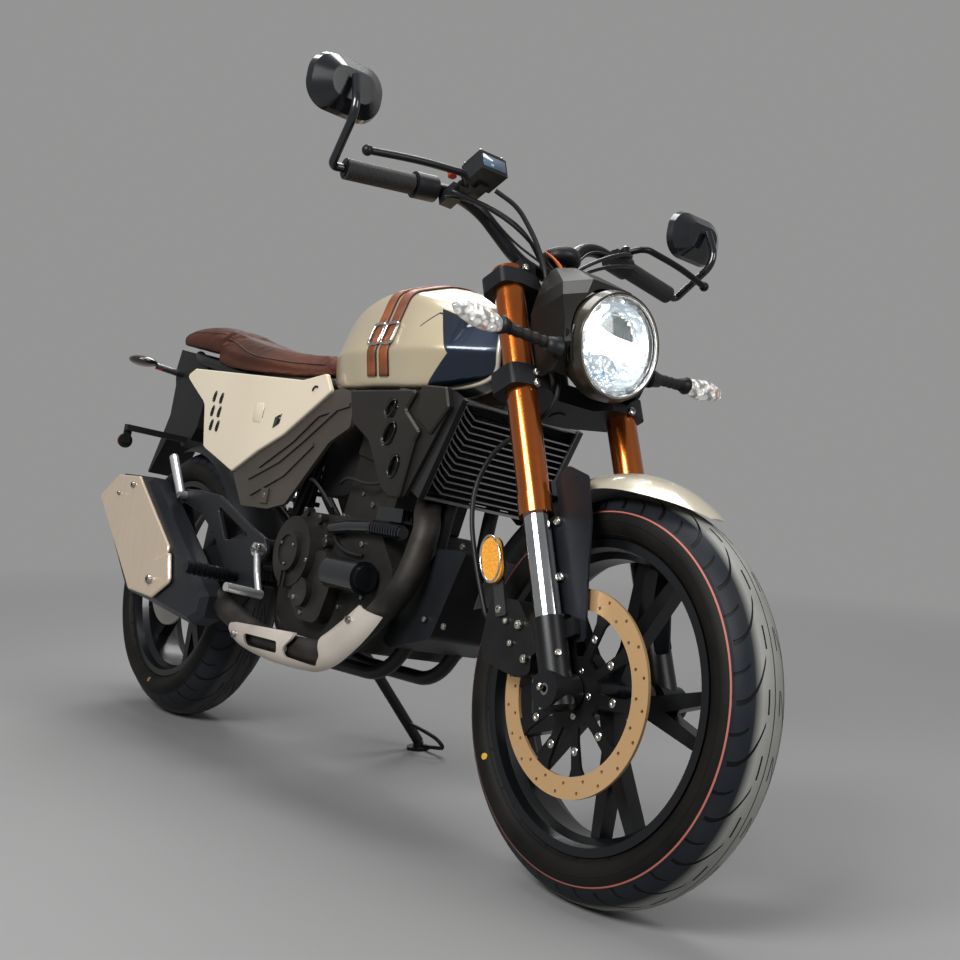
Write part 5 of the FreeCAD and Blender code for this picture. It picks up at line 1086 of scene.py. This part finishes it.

# Front and rear indicators.
# A ribbed rubber stalk carries a clear almond lens over a bright pressed reflector with an amber lamp inside,
# and the reflector carries a faint painted glow. The rear ones are shorter, with smoked lenses and a red edge.
clear_lens = Finish("indicator_clear_lens", Transmission_Weight=0.95, IOR=1.3)
flutes = clear_lens.cloud(90.0, 2.0)
clear_lens.coat(clear_lens.colour(flutes, tint("f3f2ee"), tint("ffffff")), 0.02 + 0.05 * flutes)
# The reflector carries a faint painted glow that runs from white to grey over its specks.
painted_glow_foil = Finish("indicator_foil_painted_glow", Metallic=0.35, Emission_Strength=0.25)
specks = painted_glow_foil.cells(120.0)
amber_spots = painted_glow_foil.cloud(75.0, 3.0)
tinted = painted_glow_foil.colour(amber_spots.rise(0.60, 0.63), tint("f0f0ee"), tint("e07a22"))
painted_glow_foil.feed("Emission Color", painted_glow_foil.colour(specks, tint("ffffff"), tint("88827a")))
painted_glow_foil.coat(painted_glow_foil.colour((specks * 1.2).rise(0.55, 0.9), tinted, tint("7f8384")),
                0.12 + 0.2 * specks, painted_glow_foil.relief(specks, 0.004))


def almond(x, y, z, long, deep, tall, side):
    """Rows across an almond that is blunt at the stalk and pointed at its outer end."""
    climb, blunt, pointed, fullness, first, last = 4.0, 0.55, 0.62, 1.92, 0.012, 0.988
    rows = []
    for k in range(25):
        share = first + (last - first) * k / 24
        swell = (share ** blunt) * ((1 - share) ** pointed) * fullness
        along = 2 * share - 1
        rows.append([(x + u, side * (y + long * along), z + climb * along + v)
                     for u, v in circle(32, deep * swell, tall * swell)])
    return rows


stalk_line = ((83, 98.6, 520), (80, 130, 525), (74, 182, 532), (73, 196, 534))
foot_rows = ((98.4, 15.5), (101, 15.5), (108, 13), (122, 10.4))
cup_rows = ((186, 9), (194, 12), (202, 15), (205, 14))
for side, label in both_sides:
    stalk = ribbed_line([(x, side * y, z) for x, y, z in stalk_line], 9.6, 10)
    ribs = shaped("indicator_stalk_" + label, *stalk, hose_rubber, "fork", "black_rubber", fork, split=28)
    if side < 0:
        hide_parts("front_signals")
    foot = [[(83 + u, side * y, 520 + v) for u, v in circle(24, wide, 1.15 * wide)]
            for y, wide in foot_rows]
    shaped("indicator_foot_" + label, *skinned(foot), belly_plastic, "fork", "black_plastic", fork)
    cup = [[(72 + u, side * y, 536 + v) for u, v in circle(24, wide)] for y, wide in cup_rows]
    shaped("indicator_cup_" + label, *skinned(cup), belly_plastic, "fork", "black_plastic", fork)
    shaped("indicator_lens_" + label, *skinned(almond(72, 246, 538, 50, 18.5, 22, side)), clear_lens,
           "fork", "lamp_glass", fork)
    shaped("indicator_foil_" + label, *skinned(almond(70, 245, 538, 45, 13.0, 18, side)), painted_glow_foil,
           "fork", "clear_amber", fork)

smoke_lens = Finish("rear_indicator_finish", Coat_Weight=0.6, Coat_Roughness=0.05)
tail_x, tail_y, tail_z = smoke_lens.parts(smoke_lens.local(bike))
lens_part = (abs(tail_y) > 0.096) * 1.0
red_edge = lens_part * (abs(tail_z - 0.803).rise(0.0085, 0.0105))
stain = smoke_lens.cloud(60.0)
smoked = smoke_lens.colour(stain, tint("141416"), tint("24211f"))
smoke_lens.coat(smoke_lens.colour(red_edge, smoked, tint("9c1f17")),
                0.42 - 0.26 * lens_part + 0.1 * stain,
                smoke_lens.relief(smoke_lens.cloud(500.0), 0.00008))
dress(smoke_lens, "rear_signals")

# Handlebar, controls and mirrors.
# A fat tapered alloy bar in black carries rubber grips, moulded switch housings with a red stop
# switch, a fluid reservoir with a glossy lid, thin levers and gloss black bar-end mirrors.
bar_black = surfaced("bar_black_anodised", "1d1e21", "131417", 0.34, depth=0.00005, Metallic=0.35)
dress(bar_black, "handlebar", "levers")
grip_rubber = Finish("grip_rubber")
grip_x, grip_y, grip_z = grip_rubber.parts(grip_rubber.local(fork))
knurl = grip_y.work("SINE", grip_y * 1400.0)
grip_dust = grip_rubber.cloud(70.0, 4.0)
grip_rubber.coat(grip_rubber.colour(grip_dust, tint("131313"), tint("252423")), 0.55 + 0.15 * grip_dust,
                 grip_rubber.relief(knurl.rise(-0.2, 0.2), 0.0008))
dress(grip_rubber, "grips")
switch_plastic = surfaced("switch_moulded_plastic", "1e1f22", "131416", 0.42, tooth=1700.0,
                          depth=0.00008)
dress(switch_plastic, "bar_controls")
mirror_gloss = surfaced("mirror_gloss_black", "12151a", "0a0b0e", 0.24, swing=0.03, patch=6.0,
                        depth=0.00001, Coat_Weight=0.8, Coat_Roughness=0.03)
dress(mirror_gloss, "mirrors")
silvering = Finish("mirror_silvered_glass", Metallic=1.0)
smear = silvering.cloud(14.0, 4.0)
silvering.coat(silvering.colour(smear, tint("cdd4d8"), tint("e4e9ec")), 0.02 + 0.05 * smear)
mirror_mesh = nodes["mirrors"].data
to_fork = fork.inverted()
fork_turn = to_fork.to_3x3()
beside_bar, above_bar, backwards, even, apart = 0.25, 0.9, -0.8, 1.5, 0.5
for side, label in both_sides:
    backs = [face for face in mirror_mesh.polygons if (to_fork @ face.center).y * side > beside_bar
             and (to_fork @ face.center).z > above_bar and (fork_turn @ face.normal).x < backwards]
    way = (fork_turn @ sum((face.normal * face.area for face in backs), Vector())).normalized()
    spots = [(to_fork @ mirror_mesh.vertices[k].co) * 1000 for face in backs for k in face.vertices]
    level = max(spot.dot(way) for spot in spots)
    spots = [spot for spot in spots if level - spot.dot(way) < even]
    middle = sum(spots, Vector()) / len(spots)
    wide = way.orthogonal().normalized()
    tall = way.cross(wide)
    rim = []
    for u, v in circle(48):
        far = max(spots, key=lambda spot: spot.dot(wide * u + tall * v))
        if not rim or (far - rim[-1]).length > apart:
            rim.append(far)
    if (rim[0] - rim[-1]).length < apart:
        rim.pop()
    rows = [[middle + (spot - middle) * grow + way * lift for spot in rim]
            for lift, grow in ((-0.6, 0.91), (0.4, 0.91), (0.7, 0.89))]
    shaped("mirror_glass_" + label, *skinned(rows), silvering, "fork", "mirror_black", fork, split=20)
lid_gloss = surfaced("reservoir_lid_gloss", "5a6c80", "43566b", 0.12, swing=0.04, patch=20.0,
                     depth=0.00002, Coat_Weight=0.8)


def slab(x0, x1, y0, y1, z0, z1, cut):
    """Corners and faces of a block with cut corners and a cut upper rim, for lids and buttons."""
    upper_cut = 1.2

    def loop(shrink, z):
        a, b, c, d = x0 + shrink, x1 - shrink, y0 + shrink, y1 - shrink
        return [(a + cut, c, z), (b - cut, c, z), (b, c + cut, z), (b, d - cut, z), (b - cut, d, z),
                (a + cut, d, z), (a, d - cut, z), (a, c + cut, z)]
    return skinned([loop(0, z0), loop(0, z1 - upper_cut), loop(upper_cut, z1)])


red_switch = surfaced("stop_switch_red", "c2301d", "9c2416", 0.3, patch=40.0, depth=0.00003)
glass_side = ((-182, 852), (-136, 852), (-136, 874), (-182, 874))
sight_glass = skinned([[(x, y, z) for y, z in glass_side] for x in (51.6, 53.4)])
for name, block, finish, split in (
        ("reservoir_lid", slab(3, 51, -185, -133, 879.5, 884, 5), switch_plastic, 25),
        ("reservoir_window", slab(10, 46, -178, -140, 883.6, 885.2, 4), lid_gloss, 25),
        ("reservoir_sight_glass", sight_glass, lid_gloss, None),
        ("stop_switch", slab(8, 20, -226, -212, 838, 850, 3), red_switch, 25)):
    shaped(name, *block, finish, "fork", "black_plastic", fork, split=split)
screws("control_screws", [((x, y, z), (0, 0, 1), size) for x, y, z, size in (
    (6, -181, 884, 0.6), (47, -181, 884, 0.6), (6, -137, 884, 0.6), (47, -137, 884, 0.6),
    (3, 188, 846, 1.1), (3, -188, 846, 1.1))], silver_screw, "fork", fork)

cable_black = surfaced("cable_sheath", "1a1a1c", "101012", 0.38, depth=0.00004, tooth=2600.0)
wire_orange = surfaced("loom_orange", "c4602a", "a64c1c", 0.45, patch=60.0, depth=0.00004)
cables = [[(-4, -206, 824), (18, -170, 806), (30, -120, 786), (20, -70, 772), (2, -36, 752),
           (2, -18, 722), (10, -10, 700)],
          [(2, -214, 818), (26, -176, 796), (38, -124, 772), (30, -74, 752), (18, -30, 730),
           (24, -12, 704)],
          [(6, 196, 830), (34, 168, 812), (40, 120, 790), (34, 74, 764), (16, 36, 742), (10, 14, 716),
           (14, 8, 700)],
          [(-2, 210, 818), (16, 170, 796), (24, 122, 776), (22, 80, 756), (22, 40, 732), (26, 16, 704)]]
wires = [[(-8, -222, 812), (-6, -176, 824), (-18, -130, 838), (-24, -96, 812), (-14, -60, 770),
          (6, -30, 740), (20, -8, 706)],
         [(-8, 222, 812), (-6, 176, 826), (-16, 132, 840), (-22, 98, 812), (-12, 62, 772),
          (8, 32, 742), (22, 10, 706)]]
loom = [[(30, -44, 742), (40, -36, 728), (44, -30, 712), (44, -26, 700)],
        [(34, -50, 740), (45, -42, 726), (50, -34, 710), (50, -30, 700)]]
wound("control_cables", cables, 3.4, cable_black, "fork", fork)
wound("control_wires", wires, 2.2, cable_black, "fork", fork)
wound("loom_orange_wires", loom, 1.8, wire_orange, "fork", fork)
instrument = frame_at(fork, (0.016, 0, 0.752), 90, "X")
lathed("instrument_pod", [(0.4, -16), (30, -16), (35, -10), (35, 3), (33, 5), (0.4, 5)], switch_plastic,
       "fork", "black_plastic", instrument, 64)

# Tail.
# The plate holder hangs from the seat rails in black plastic, with a bar that carries a round
# red reflector at each end.
tail_plastic = surfaced("tail_moulded_plastic", "1d1e20", "141416", 0.46, tooth=1500.0, depth=0.0001)
dress(tail_plastic, "tail_unit")
red_lens = Finish("tail_red_lens", Coat_Weight=1.0, Coat_Roughness=0.04)
red_cells = red_lens.cells(420.0)
red_lens.coat(red_lens.colour(red_cells, tint("8e1410"), tint("c63a2b")), 0.14 + 0.25 * red_cells,
              red_lens.relief(red_cells, 0.0008))
button_rows = ((-156.5, 15.0), (-159.5, 15.0), (-160.8, 12.0))
for side, label in both_sides:
    button = [[(out, side * 186 + u, 598 + v) for u, v in circle(32, wide)] for out, wide in button_rows]
    shaped("tail_reflector_" + label, *skinned(button), red_lens, "root", "black_plastic", bike)

# Studio.
# A pale grey sweep carries the machine, and broad soft lamps over it and to its sides light it
# as evenly as in the photograph. What glass and metal mirror is the same pale grey.
world = bpy.data.worlds.new("studio_light")
scene.world = world
world.use_nodes = True
air = world.node_tree
backdrop = (0.298, 0.298, 0.296, 1.0)
even_light, seen = air.nodes["Background"], air.nodes.new("ShaderNodeBackground")
for source, shade, strength in ((even_light, (0.78, 0.79, 0.80, 1.0), 0.24), (seen, backdrop, 1.0)):
    source.inputs["Color"].default_value = shade
    source.inputs["Strength"].default_value = strength
rays = air.nodes.new("ShaderNodeLightPath")
either = air.nodes.new("ShaderNodeMixShader")
shown = Flow(air, rays.outputs["Is Camera Ray"])
for mirrored in ("Is Glossy Ray", "Is Transmission Ray"):
    shown = shown.work("MAXIMUM", shown, Flow(air, rays.outputs[mirrored]))
air.links.new(shown.socket, either.inputs[0])
air.links.new(even_light.outputs[0], either.inputs[1])
air.links.new(seen.outputs[0], either.inputs[2])
air.links.new(either.outputs[0], air.nodes["World Output"].inputs["Surface"])


def softbox(name, place, aim, width, tall, power):
    """A rectangular lamp that faces a point of the machine."""
    data = bpy.data.lights.new(name, "AREA")
    data.shape = "RECTANGLE"
    data.size, data.size_y, data.energy = width, tall, power
    box_lamp = bpy.data.objects.new(name, data)
    scene.collection.objects.link(box_lamp)
    box_lamp.location = place
    box_lamp.rotation_euler = (Vector(aim) - Vector(place)).to_track_quat("-Z", "Y").to_euler()


softbox("key_lamp", (1.2, -2.8, 2.6), (0.1, 0.0, 0.5), 1.8, 1.1, 125)
softbox("front_lamp", (3.4, 0.6, 1.9), (0.4, 0.0, 0.6), 1.3, 1.3, 46)
softbox("top_lamp", (-0.4, 0.2, 3.4), (0.0, 0.0, 0.6), 2.6, 1.2, 78)
softbox("rear_lamp", (-2.4, 1.6, 3.0), (-0.3, 0.0, 0.6), 1.4, 1.4, 46)

half_floor, fade_from, fade_to = 30, 1.3, 3.6
floor_mesh = bpy.data.meshes.new("studio_floor")
square_corners = ((-1, -1), (1, -1), (1, 1), (-1, 1))
floor_mesh.from_pydata([(x * half_floor, y * half_floor, 0) for x, y in square_corners], [],
                       [(0, 1, 2, 3)])
floor_finish = Finish("studio_floor_paint")
floor_drift = floor_finish.cloud(1.5, 4.0)
darker, lighter = (0.210, 0.210, 0.209, 1.0), (0.222, 0.222, 0.221, 1.0)
floor_finish.coat(floor_finish.colour(floor_drift, darker, lighter), 0.8 + 0.1 * floor_drift)
floor_x, floor_y, floor_z = floor_finish.parts(floor_finish.place)
square = floor_x * floor_x + floor_y * floor_y
faded = square.work("SQRT", square).rise(fade_from, fade_to)
paint = floor_finish.tree
haze_light = paint.nodes.new("ShaderNodeEmission")
haze_light.inputs["Color"].default_value = backdrop
fade = paint.nodes.new("ShaderNodeMixShader")
for source, entry in ((faded.socket, fade.inputs[0]), (floor_finish.shader.outputs[0], fade.inputs[1]),
                      (haze_light.outputs[0], fade.inputs[2]),
                      (fade.outputs[0], paint.nodes["Material Output"].inputs["Surface"])):
    paint.links.new(source, entry)
floor_mesh.materials.append(floor_finish.material)
floor = bpy.data.objects.new("studio_floor", floor_mesh)
scene.collection.objects.link(floor)
